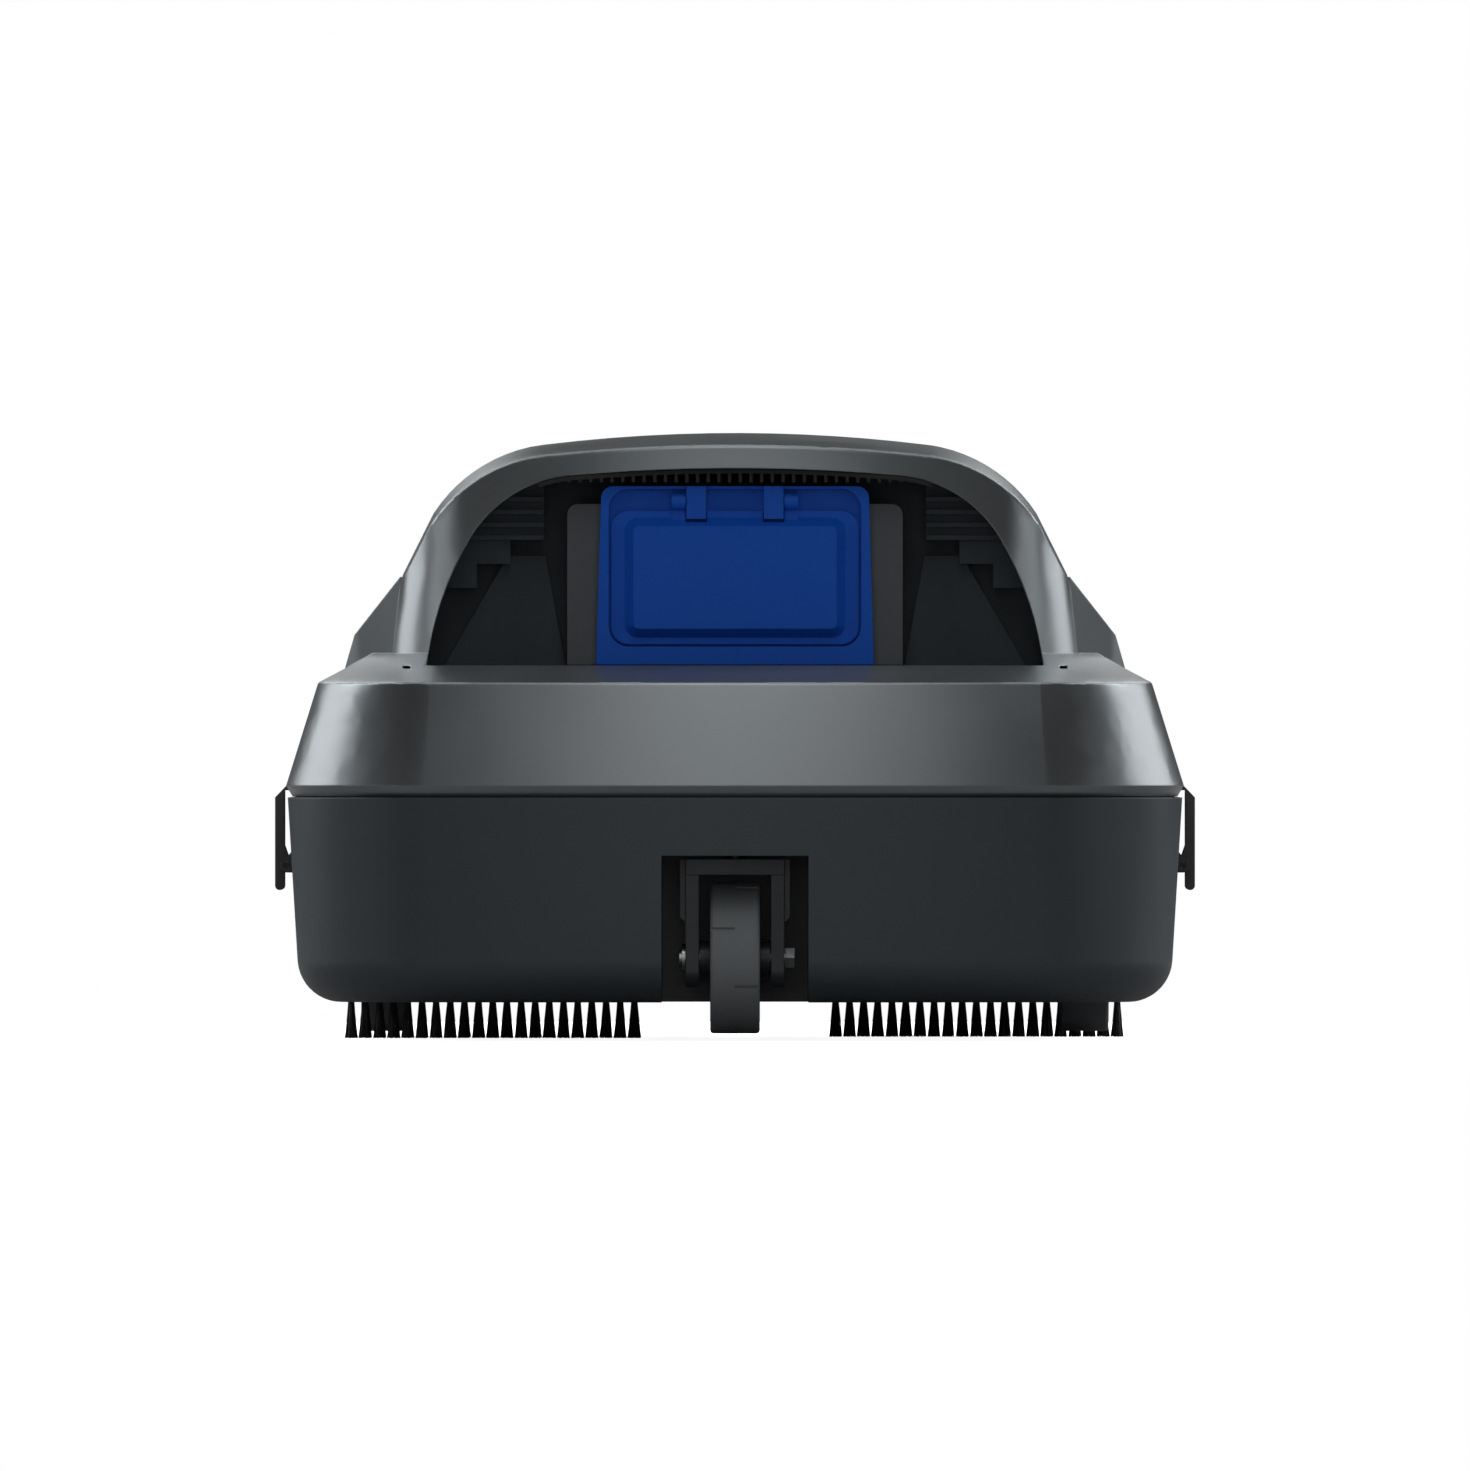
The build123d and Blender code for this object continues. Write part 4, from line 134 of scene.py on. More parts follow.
def node(tree, kind, inputs=None, **settings):
    """Add a node with its settings; an input given as a socket is linked."""
    made = tree.nodes.new(kind)
    for key, value in settings.items():
        setattr(made, key, value)
    for key, value in (inputs or {}).items():
        if isinstance(value, bpy.types.NodeSocket):
            tree.links.new(value, made.inputs[key])
        else:
            made.inputs[key].default_value = value
    return made


def blank_material(name):
    """A new material and its node tree, with no nodes in it."""
    material = bpy.data.materials.new(name)
    material.use_nodes = True
    material.node_tree.nodes.clear()
    return material, material.node_tree


# Slow patches in a moulding's melt: their size, the part of their range that counts,
# and how far they shift the colour and the roughness
PATCH_SIZE = 70 * MM
PATCH_LOW, PATCH_HIGH = 0.3, 0.7
PATCH_DARK, PATCH_PALE = 0.93, 1.08
PATCH_GLOSSY, PATCH_DULL = -0.03, 0.04

# Rubbed edges with a painted highlight line: how far the rounded normal has left the face's own
# where the lighter edge starts and where it is full, and how much lighter the colour gets
RUB_AND_HIGHLIGHT_START, RUB_AND_HIGHLIGHT_FULL = 0.99, 0.8
RUB_AND_HIGHLIGHT_GAIN, RUB_AND_HIGHLIGHT_LIFT = 1.6, 0.02
GRAIN_STRENGTH = 0.6


def moulded(name, tint, roughness, grain, depth, edge=0.25, wear_and_highlight=0.35, **sockets):
    """A moulded finish: grain, depth and edge in millimetres, other shader values by socket name.

    The mould's texture is a fine bump, drawn a little coarser than the real one so that it shows.
    Slow patches in the melt shift colour and gloss a little, and edges are softly rounded and
    painted a shade lighter, as rubbing and as a painted highlight line along each edge.
    """
    material, tree = blank_material(name)
    place = node(tree, "ShaderNodeTexCoord").outputs["Object"]
    texture = node(
        tree,
        "ShaderNodeTexNoise",
        {"Vector": place, "Scale": 1 / (grain * MM), "Detail": 3.0, "Roughness": 0.6},
    )
    patches = node(
        tree, "ShaderNodeTexNoise", {"Vector": place, "Scale": 1 / PATCH_SIZE, "Detail": 2.0}
    )
    rounded = node(tree, "ShaderNodeBevel", {"Radius": edge * MM}, samples=4)
    flat = node(tree, "ShaderNodeNewGeometry")
    facing = node(
        tree,
        "ShaderNodeVectorMath",
        {0: rounded.outputs["Normal"], 1: flat.outputs["Normal"]},
        operation="DOT_PRODUCT",
    )
    # Mask of the edges that get the lighter colour: part rubbing, part painted highlight line
    rub_and_highlight_mask = node(
        tree,
        "ShaderNodeMapRange",
        {
            "Value": facing.outputs["Value"],
            "From Min": RUB_AND_HIGHLIGHT_START,
            "From Max": RUB_AND_HIGHLIGHT_FULL,
            "To Max": wear_and_highlight,
        },
    )
    dark = [c * PATCH_DARK for c in tint] + [1]
    pale = [min(1, c * PATCH_PALE) for c in tint] + [1]
    # The lighter edge colour: rubbing and a painted highlight line
    worn_and_highlit = [min(1, c * RUB_AND_HIGHLIGHT_GAIN + RUB_AND_HIGHLIGHT_LIFT) for c in tint] + [1]
    # A mix node holds its colours in sockets 6 and 7, and gives the mixed colour from output 2
    melt = node(
        tree, "ShaderNodeMix", {0: patches.outputs["Fac"], 6: dark, 7: pale}, data_type="RGBA"
    )
    skin = node(
        tree,
        "ShaderNodeMix",
        {0: rub_and_highlight_mask.outputs["Result"], 6: melt.outputs[2], 7: worn_and_highlit},
        data_type="RGBA",
    )
    gloss = node(
        tree,
        "ShaderNodeMapRange",
        {
            "Value": patches.outputs["Fac"],
            "From Min": PATCH_LOW,
            "From Max": PATCH_HIGH,
            "To Min": roughness + PATCH_GLOSSY,
            "To Max": roughness + PATCH_DULL,
        },
    )
    bump = node(
        tree,
        "ShaderNodeBump",
        {
            "Strength": GRAIN_STRENGTH,
            "Distance": depth * MM,
            "Height": texture.outputs["Fac"],
            "Normal": rounded.outputs["Normal"],
        },
    )
    shader = node(
        tree,
        "ShaderNodeBsdfPrincipled",
        {
            "Base Color": skin.outputs[2],
            "Roughness": gloss.outputs["Result"],
            "Normal": bump.outputs["Normal"],
            **sockets,
        },
    )
    node(tree, "ShaderNodeOutputMaterial", {"Surface": shader.outputs["BSDF"]})
    return material


# Tool lines on turned metal: their depth, and the roughness of their crests and grooves
LINE_DEPTH = 0.02 * MM
LINE_STRENGTH = 0.3
LINE_GLOSSY, LINE_DULL = -0.05, 0.08


def turned(name, tint, roughness, pitch):
    """A turned or drawn metal: fine slanting lines, their pitch in millimetres."""
    material, tree = blank_material(name)
    place = node(tree, "ShaderNodeTexCoord").outputs["Object"]
    lines = node(
        tree,
        "ShaderNodeTexWave",
        {"Vector": place, "Scale": 1 / (pitch * MM), "Distortion": 2.0, "Detail": 2.0},
        bands_direction="DIAGONAL",
    )
    gloss = node(
        tree,
        "ShaderNodeMapRange",
        {
            "Value": lines.outputs["Fac"],
            "To Min": roughness + LINE_GLOSSY,
            "To Max": roughness + LINE_DULL,
        },
    )
    bump = node(
        tree,
        "ShaderNodeBump",
        {"Strength": LINE_STRENGTH, "Distance": LINE_DEPTH, "Height": lines.outputs["Fac"]},
    )
    shader = node(
        tree,
        "ShaderNodeBsdfPrincipled",
        {
            "Base Color": [*tint, 1],
            "Metallic": 1.0,
            "Roughness": gloss.outputs["Result"],
            "Normal": bump.outputs["Normal"],
        },
    )
    node(tree, "ShaderNodeOutputMaterial", {"Surface": shader.outputs["BSDF"]})
    return material


def dress(material, *names):
    """Give CAD nodes a material."""
    for name in names:
        NODES[name].data.materials.clear()
        NODES[name].data.materials.append(material)


# Seams: the gap that still counts as closed, and the angle up to which faces meet flush
SEAM_GAP = 0.01 * MM
SEAM_ANGLE = math.radians(24)


def smooth_seams(*names):
    """Shade across the joins of CAD faces that meet nearly flush, and leave real edges sharp."""
    tree = bpy.data.node_groups.new("smooth_seams", "GeometryNodeTree")
    tree.interface.new_socket("Geometry", in_out="INPUT", socket_type="NodeSocketGeometry")
    tree.interface.new_socket("Geometry", in_out="OUTPUT", socket_type="NodeSocketGeometry")
    source = node(tree, "NodeGroupInput").outputs["Geometry"]
    joined = node(tree, "GeometryNodeMergeByDistance", {"Geometry": source, "Distance": SEAM_GAP})
    angle = node(tree, "GeometryNodeInputMeshEdgeAngle").outputs["Unsigned Angle"]
    flush = node(tree, "ShaderNodeMath", {0: angle, 1: SEAM_ANGLE}, operation="LESS_THAN")
    faces = node(
        tree,
        "GeometryNodeSetShadeSmooth",
        {"Geometry": joined.outputs["Geometry"], "Shade Smooth": True},
        domain="FACE",
    )
    edges = node(
        tree,
        "GeometryNodeSetShadeSmooth",
        {"Geometry": faces.outputs["Geometry"], "Shade Smooth": flush.outputs["Value"]},
        domain="EDGE",
    )
    node(tree, "NodeGroupOutput", {"Geometry": edges.outputs["Geometry"]})
    for name in names:
        NODES[name].modifiers.new("smooth_seams", "NODES").node_group = tree
        weighted = NODES[name].modifiers.new("weighted_normals", "WEIGHTED_NORMAL")
        weighted.keep_sharp = True


def new_piece(name, mesh, material, body):
    """A made mesh as a piece that rides on a body."""
    piece = bpy.data.objects.new(name, mesh)
    bpy.context.scene.collection.objects.link(piece)
    mesh.materials.append(material)
    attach(piece, body)
    return piece


class CLEANER_OT_cover(bpy.types.Operator):
    """Finish the cover, its grips and the recesses behind its arches"""

    bl_idname = "cleaner.cover"
    bl_label = "Cover"

    def execute(self, context):
        tints = context.scene.cleaner.colours
        # Moulded ABS under satin metallic paint: soft wide highlights follow the form
        shell = moulded(
            "abs_metallic_paint",
            tints.cover,
            roughness=0.31,
            grain=0.5,
            depth=0.006,
            edge=0.8,
            # Strength of the lighter edges: rubbing and a painted highlight line
            wear_and_highlight=0.25,
            IOR=1.54,
            Metallic=0.85,
        )
        dress(shell, "upper_shell")
        # Both big shells have many faces that run into each other
        smooth_seams("upper_shell", "lower_hull")
        # Moulded polypropylene, matt: dark and without clear reflections
        liner = moulded(
            "polypropylene_matt",
            tints.liner,
            roughness=0.6,
            grain=0.8,
            depth=0.03,
            **{"IOR": 1.49, "Specular IOR Level": 0.25},
        )
        dress(liner, "arch_liner_rear", "arch_liner_front")
        # Moulded TPE: soft sheen and a powdery look
        grip = moulded(
            "tpe_ribbed_grip", linear("#121314"), roughness=0.7, grain=0.5, depth=0.03, IOR=1.5
        )
        dress(grip, "handle_grip_rear", "handle_grip_front")
        return {"FINISHED"}


class CLEANER_OT_outlets(bpy.types.Operator):
    """Finish the outlet frames, flaps and ducts"""

    bl_idname = "cleaner.outlets"
    bl_label = "Outlets"

    def execute(self, context):
        tints = context.scene.cleaner.colours
        # Moulded ABS, solid blue, fine matt texture: even colour with a dim broad sheen
        blue = moulded(
            "abs_blue_matt",
            tints.outlet,
            roughness=0.5,
            grain=0.4,
            depth=0.012,
            edge=0.5,
            wear_and_highlight=0.15,
            **{"IOR": 1.54, "Specular IOR Level": 0.12},
        )
        dress(blue, "outlet_frame_rear", "outlet_frame_front")
        dress(blue, "outlet_flap_rear", "outlet_flap_front")
        # Moulded polypropylene, grey: flat and a little warm
        duct = moulded(
            "polypropylene_grey", tints.duct, roughness=0.55, grain=0.8, depth=0.02, IOR=1.49
        )
        dress(duct, "outlet_duct_rear", "outlet_duct_front")
        return {"FINISHED"}


class CLEANER_OT_controls(bpy.types.Operator):
    """Finish the control panel with its button, lens, socket and cap"""

    bl_idname = "cleaner.controls"
    bl_label = "Controls"

    def execute(self, context):
        tints = context.scene.cleaner.colours
        # Moulded polycarbonate blend, polished: a near-black face with clear reflections
        panel = moulded(
            "pc_abs_black_gloss",
            linear("#151617"),
            roughness=0.18,
            grain=0.8,
            depth=0.002,
            edge=0.4,
            IOR=1.58,
        )
        dress(panel, "control_panel")
        # Moulded silicone: blue, soft and matt
        button = moulded(
            "silicone_blue",
            tints.outlet,
            roughness=0.55,
            grain=0.4,
            depth=0.01,
            edge=0.5,
            wear_and_highlight=0.1,
            IOR=1.41,
        )
        dress(button, "power_button")
        # Clear polycarbonate, polished: a small bright dot
        lens = moulded(
            "polycarbonate_clear",
            linear("#DDEEF8"),
            roughness=0.08,
            grain=2.0,
            depth=0.001,
            **{"IOR": 1.58, "Transmission Weight": 0.8},
        )
        dress(lens, "status_lens")
        # Moulded nylon: dark, with a soft shine in the socket's bore
        socket = moulded(
            "nylon_black", linear("#1A1B1C"), roughness=0.45, grain=0.5, depth=0.01, IOR=1.53
        )
        dress(socket, "charging_socket")
        # Moulded TPE: black and powdery
        cap = moulded(
            "tpe_black", linear("#1C1D1E"), roughness=0.65, grain=0.5, depth=0.02, IOR=1.5
        )
        dress(cap, "socket_cap")
        return {"FINISHED"}


class CLEANER_OT_hull(bpy.types.Operator):
    """Finish the hull, its gasket, latches and inlet flaps"""

    bl_idname = "cleaner.hull"
    bl_label = "Hull"

    def execute(self, context):
        tints = context.scene.cleaner.colours
        # Moulded ABS, spark-eroded fine texture: dark satin with soft side light
        tub = moulded(
            "abs_charcoal_satin",
            tints.hull,
            roughness=0.4,
            grain=0.45,
            depth=0.012,
            edge=0.6,
            wear_and_highlight=0.3,
            IOR=1.54,
        )
        dress(tub, "lower_hull", "inlet_throats")
        # Moulded nylon, for the sprung latches: a shade warmer than the hull
        latch = moulded(
            "nylon_latch",
            linear("#363636"),
            roughness=0.42,
            grain=0.5,
            depth=0.01,
            edge=0.4,
            IOR=1.53,
        )
        dress(latch, "latch_left", "latch_right")
        # Nitrile rubber, matt: grey for the gasket, so that the seam stays a faint line
        seal = moulded(
            "nitrile_grey", linear("#3E4245"), roughness=0.7, grain=0.6, depth=0.02, IOR=1.52
        )
        dress(seal, "seam_gasket")
        # Nitrile rubber, matt: black, with no clear highlight
        flap = moulded(
            "nitrile_black", linear("#141414"), roughness=0.7, grain=0.6, depth=0.02, IOR=1.52
        )
        dress(flap, "inlet_flap_left", "inlet_flap_right")
        return {"FINISHED"}


class CLEANER_OT_wheels(bpy.types.Operator):
    """Finish the wheels, the caster and every piece of turned steel"""

    bl_idname = "cleaner.wheels"
    bl_label = "Wheels"

    def execute(self, context):
        tints = context.scene.cleaner.colours
        # Moulded TPE tread: dark grey with a broad sheen
        tyre = moulded(
            "tpe_tread", tints.tyre, roughness=0.55, grain=0.7, depth=0.03, edge=0.4, IOR=1.5
        )
        dress(tyre, "wheel_tyre_left", "wheel_tyre_right", "caster_tyre")
        # Moulded acetal: dense, dark and slightly waxy
        acetal = moulded(
            "acetal_dark",
            linear("#2C3136"),
            roughness=0.38,
            grain=0.6,
            depth=0.008,
            edge=0.4,
            IOR=1.48,
        )
        dress(acetal, "wheel_hub_left", "wheel_hub_right", "caster_hub", "caster_fork")
        # Turned steel, blackened against glare: dark, with fine tool lines
        steel = turned("steel_blackened_turned", linear("#3C3E40"), roughness=0.34, pitch=0.12)
        dress(
            steel,
            "wheel_axles",
            "king_pin",
            "king_clip",
            "latch_pins",
            "inlet_pins",
            "flap_pins",
            "cap_pin",
            "cover_screws",
            "pump_shaft",
            "motor_bearings",
        )
        # Turned stainless steel, bright: small glints at the caster's axle
        bright = turned("steel_stainless_turned", linear("#A4A7A9"), roughness=0.28, pitch=0.12)
        dress(bright, "caster_axle", "axle_clip")
        return {"FINISHED"}


class CLEANER_OT_power(bpy.types.Operator):
    """Finish the battery, board, motor and impellers inside the cover"""

    bl_idname = "cleaner.power"
    bl_label = "Battery and pump"

    def execute(self, context):
        # Moulded glass-filled nylon: dull dark grey
        nylon = moulded(
            "nylon_glass_filled",
            linear("#454748"),
            roughness=0.55,
            grain=0.5,
            depth=0.03,
            IOR=1.53,
        )
        dress(nylon, "chassis_plate", "battery_box", "battery_lid", "motor_cradle", "motor_caps")
        # Shrunk PVC sleeve: blue and glossy
        sleeve = moulded(
            "pvc_sleeve_blue", linear("#1F5E8C"), roughness=0.22, grain=3.0, depth=0.01, IOR=1.53
        )
        dress(sleeve, "battery_cells")
        # Epoxy laminate under solder mask: green with a soft gloss
        laminate = moulded(
            "epoxy_laminate_green",
            linear("#1E5B34"),
            roughness=0.3,
            grain=0.9,
            depth=0.01,
            IOR=1.55,
        )
        dress(laminate, "control_board")
        # Zinc-plated drawn steel: bright grey with drawn lines
        can = turned("steel_zinc_plated", linear("#8E9294"), roughness=0.35, pitch=0.6)
        dress(can, "motor_can")
        # Stacked steel sheets, lacquered: brown, in fine layers
        stack = turned("steel_laminations", linear("#6B5A4C"), roughness=0.5, pitch=0.5)
        dress(stack, "motor_armature")
        # Moulded acetal: near black and slightly waxy
        impeller = moulded(
            "acetal_black", linear("#202224"), roughness=0.35, grain=0.6, depth=0.008, IOR=1.48
        )
        dress(impeller, "impeller_rear", "impeller_front")
        # Nitrile rubber, moulded lips: dull black
        lip = moulded(
            "nitrile_lip", linear("#161616"), roughness=0.65, grain=0.6, depth=0.02, IOR=1.52
        )
        dress(lip, "shaft_seals")
        return {"FINISHED"}


# Thickness and routes of the two leads inside the cover, the routes in millimetres
LEAD_DIAMETER = 2.8 * MM
LEADS = {
    "motor_lead": ((45.0, 26.0, 139.2), (45.0, 26.0, 172.9), (26.3, 26.0, 172.9)),
    "charge_lead": ((-28.0, 183.72, 109.59), (-28.0, 162.72, 103.04), (-28.0, 77.6, 103.04)),
}


class CLEANER_OT_leads(bpy.types.Operator):
    """Lay the motor's lead and the charging lead as smooth cords"""

    bl_idname = "cleaner.leads"
    bl_label = "Leads"

    def execute(self, context):
        # Extruded PVC: black with a soft shine
        sheath = moulded(
            "pvc_sheath_black", linear("#17181A"), roughness=0.4, grain=0.8, depth=0.01, IOR=1.53
        )
        for name, route in LEADS.items():
            line = bpy.data.curves.new(f"{name}_line", "CURVE")
            line.dimensions = "3D"
            spline = line.splines.new("NURBS")
            spline.points.add(len(route) - 1)
            for point, place in zip(spline.points, route):
                point.co = (*(c * MM for c in place), 1)
            spline.order_u = 3
            spline.use_endpoint_u = True
            spline.resolution_u = 16
            bare = bpy.data.objects.new(f"{name}_bare", line)
            path = [v.co.copy() for v in bpy.data.meshes.new_from_object(bare).vertices]
            bpy.data.objects.remove(bare)
            line.bevel_depth = LEAD_DIAMETER / 2
            line.bevel_resolution = 3
            line.materials.append(sheath)
            piece = bpy.data.objects.new(f"{name}_cord", line)
            context.scene.collection.objects.link(piece)
            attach(piece, "cover")
            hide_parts(name)
        return {"FINISHED"}


# Strands of a tuft: corners around one, its rings from root to tip, its taper,
# how they crowd to the tuft's rim, and how the flare bends
STRAND_SIDES = 5
STRAND_RINGS = (0.0, 0.35, 0.7, 1.0)
STRAND_TAPER = 0.25
GOLDEN_TURN = math.pi * (3 - math.sqrt(5))
RIM_CROWDING = 0.38
FLARE_BEND = 1.25

# What differs from strand to strand: turn in radians, share of the reach, and millimetres
TURN_RANGE = (-0.3, 0.3)
REACH_RANGE = (0.92, 1.06)
TIP_RANGE = (0.0, 0.5)
BOW_RANGE = (-0.12, 0.2)


def tuft_filaments(centre, sizes, top, chance, corners, faces):
    """Add one tuft: filaments that leave the bar close together and flare to the ground."""
    for index in range(sizes.filaments):
        share = ((index + 0.5) / sizes.filaments) ** RIM_CROWDING
        turn = index * GOLDEN_TURN + chance.uniform(*TURN_RANGE)
        way = Vector((math.cos(turn), math.sin(turn), 0))
        root = share * sizes.tuft_root
        reach = min(1.0, share * chance.uniform(*REACH_RANGE)) * (sizes.tuft_tip - sizes.filament)
        tip_z = chance.uniform(*TIP_RANGE) * MM
        bow = chance.uniform(*BOW_RANGE) * MM
        first = len(corners)
        for step in STRAND_RINGS:
            spread = root + (reach - root) * step**FLARE_BEND
            middle = centre + way * (spread + bow * math.sin(math.pi * step))
            middle.z = top + (tip_z - top) * step
            radius = sizes.filament / 2 * (1 - STRAND_TAPER * step)
            for side in range(STRAND_SIDES):
                angle = math.tau * side / STRAND_SIDES
                corners.append(middle + Vector((math.cos(angle), math.sin(angle), 0)) * radius)
        last = first + STRAND_SIDES * (len(STRAND_RINGS) - 1)
        for low in range(first, last, STRAND_SIDES):
            high = low + STRAND_SIDES
            for side in range(STRAND_SIDES):
                after = (side + 1) % STRAND_SIDES
                faces.append((low + side, low + after, high + after, high + side))
        faces.append(tuple(reversed(range(last, last + STRAND_SIDES))))


# The bar that holds the tufts: its height, its rounded edge, how deep the strands start in it,
# and the seed of their differences
BAR_HEIGHT = 2.4 * MM
BAR_EDGE = 0.3 * MM
ROOT_DEPTH = 0.3 * MM
TUFT_SEED = 21


class CLEANER_OT_brushes(bpy.types.Operator):
    """Make the brush strips, filament by filament"""

    bl_idname = "cleaner.brushes"
    bl_label = "Brush strips"

    def execute(self, context):
        sizes = context.scene.cleaner.sizes
        # Extruded nylon filament: black, with a faint shine along each strand
        nylon = moulded(
            "nylon_filament_black",
            context.scene.cleaner.colours.bristle,
            roughness=0.42,
            grain=0.6,
            depth=0.005,
            wear_and_highlight=0.0,
            IOR=1.53,
        )
        chance = random.Random(TUFT_SEED)
        for name in ("brush_left", "brush_right"):
            low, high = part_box(name)
            bar_bottom = high.z - BAR_HEIGHT
            centre = (low + high) / 2
            shape = bmesh.new()
            bmesh.ops.create_cube(shape, size=1.0)
            for corner in shape.verts:
                corner.co.x = centre.x + corner.co.x * (high.x - low.x)
                corner.co.y = centre.y + corner.co.y * (high.y - low.y)
                corner.co.z = high.z if corner.co.z > 0 else bar_bottom
            bmesh.ops.bevel(
                shape, geom=shape.edges[:], offset=BAR_EDGE, segments=2, affect="EDGES"
            )
            mesh = bpy.data.meshes.new(f"{name}_strip")
            shape.to_mesh(mesh)
            shape.free()
            corners = [v.co.copy() for v in mesh.vertices]
            faces = [tuple(f.vertices) for f in mesh.polygons]
            for index in range(sizes.tufts):
                place = Vector((centre.x, centre.y, 0))
                place.x += (index - (sizes.tufts - 1) / 2) * sizes.tuft_pitch
                tuft_filaments(place, sizes, bar_bottom + ROOT_DEPTH, chance, corners, faces)
            mesh.clear_geometry()
            mesh.from_pydata(corners, [], faces)
            piece = new_piece(f"{name}_filaments", mesh, nylon, "hull")
            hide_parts(name)
        return {"FINISHED"}


# The net's bowed ends and round corners, how far its threads swing over and under each other
# and how high they are, as shares of half a thread, and the free strip at its rim, in pitches
NET_END_RADIUS = 697.2 * MM
NET_CORNER_RADIUS = 39.2 * MM
NET_SWING = 0.45
NET_HEIGHT = 0.55
NET_MARGIN = 0.3
THREAD_CORNERS = ((-1, -1), (1, -1), (1, 1), (-1, 1))


class NetOutline:
    """Plan shape of the filter net: straight sides, bowed ends and round corners, in metres."""

    def __init__(self, half_width, half_length, end_radius, corner_radius):
        self.half_width = half_width
        self.end_radius = end_radius
        self.corner_radius = corner_radius
        self.end_y = half_length - end_radius
        self.corner_x = half_width - corner_radius
        rest = end_radius - corner_radius
        self.corner_y = self.end_y + math.sqrt(rest**2 - self.corner_x**2)
        self.join_x = self.corner_x * end_radius / rest
        self.join_y = self.end_y + (self.corner_y - self.end_y) * end_radius / rest

    def reach_x(self, y):
        """Half the width at a distance along the length."""
        y = abs(y)
        if y <= self.corner_y:
            return self.half_width
        if y <= self.join_y:
            return self.corner_x + math.sqrt(self.corner_radius**2 - (y - self.corner_y) ** 2)
        return math.sqrt(max(0, self.end_radius**2 - (y - self.end_y) ** 2))

    def reach_y(self, x):
        """Half the length at a distance across the width."""
        x = abs(x)
        if x <= self.join_x:
            return self.end_y + math.sqrt(self.end_radius**2 - x**2)
        return self.corner_y + math.sqrt(max(0, self.corner_radius**2 - (x - self.corner_x) ** 2))


class CLEANER_OT_filter(bpy.types.Operator):
    """Weave the filter net and finish its frame"""

    bl_idname = "cleaner.filter"
    bl_label = "Filter"

    def execute(self, context):
        sizes = context.scene.cleaner.sizes
        low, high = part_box("filter_mesh")
        half = (high - low) / 2
        level = (low.z + high.z) / 2
        outline = NetOutline(half.x, half.y, NET_END_RADIUS, NET_CORNER_RADIUS)
        thread = sizes.net_thread / 2
        corners, faces = [], []

        def weave(along, across, span, reach):
            """Lay the threads of one direction over and under the others."""
            count = int(span / sizes.net_pitch - NET_MARGIN)
            for index in range(-count, count + 1):
                offset = index * sizes.net_pitch
                length = reach(offset) - thread
                crossings = int(length / sizes.net_pitch)
                knots = [k * sizes.net_pitch for k in range(-crossings, crossings + 1)]
                stops = [-length, *knots, length]
                first = len(corners)
                for number, stop in enumerate(stops):
                    over = 1 if (index + number + (along == "y")) % 2 else -1
                    middle = level + over * thread * NET_SWING
                    for side, lift in THREAD_CORNERS:
                        point = {along: stop, across: offset + side * thread}
                        point["z"] = middle + lift * thread * NET_HEIGHT
                        corners.append((point["x"], point["y"], point["z"]))
                for ring in range(first, first + 4 * (len(stops) - 1), 4):
                    beyond = ring + 4
                    for side in range(4):
                        after = (side + 1) % 4
                        faces.append((ring + side, ring + after, beyond + after, beyond + side))

        weave("x", "y", half.y, outline.reach_x)
        weave("y", "x", half.x, outline.reach_y)
        mesh = bpy.data.meshes.new("filter_net")
        mesh.from_pydata(corners, [], faces)
        # Woven nylon monofilament: pale, with a soft shine on each thread
        nylon = moulded(
            "nylon_monofilament",
            linear("#B9B8B0"),
            roughness=0.4,
            grain=0.6,
            depth=0.004,
            wear_and_highlight=0.0,
            IOR=1.53,
        )
        piece = new_piece("filter_net", mesh, nylon, "cover")
        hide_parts("filter_mesh")
        # Moulded polypropylene: mid grey, flat and even
        rim = moulded(
            "polypropylene_frame",
            linear("#56595B"),
            roughness=0.5,
            grain=0.7,
            depth=0.02,
            IOR=1.49,
        )
        dress(rim, "filter_frame")
        return {"FINISHED"}


# Softboxes: azimuth from the camera's side and elevation in degrees, width and height in metres
SOFTBOXES = {
    "top": (0, 90, 1.4, 1.4),
    "eye": (0, 5, 0.8, 0.63),
    "brow": (0, 25, 0.73, 0.63),
    "front": (0, 45, 0.57, 0.63),
    "over": (0, 65, 0.34, 0.63),
    "pillar": (60, 10, 1.0, 0.25),
    "side": (97, 45, 0.75, 1.35),
    "rim": (112, 18, 1.3, 0.9),
    "back": (155, 32, 0.8, 0.9),
}
# The point that the softboxes face, and their distance from it
LIT_POINT = Vector((0, 0, 0.12))
LIGHT_DISTANCE = 1.8


def softbox(name, azimuth, elevation, size, watts):
    """A soft rectangular light that faces the cleaner from its studio distance."""
    lamp = bpy.data.lights.new(f"{name}_softbox", "AREA")
    lamp.shape = "RECTANGLE"
    lamp.size, lamp.size_y = size
    lamp.energy = watts
    turn, rise = math.radians(azimuth), math.radians(elevation)
    flat = math.cos(rise)
    way = Vector((math.sin(turn) * flat, -math.cos(turn) * flat, math.sin(rise)))
    holder = bpy.data.objects.new(f"{name}_softbox", lamp)
    holder.location = LIT_POINT + LIGHT_DISTANCE * way
    holder.rotation_euler = way.to_track_quat("Z", "Y").to_euler()
    bpy.context.scene.collection.objects.link(holder)


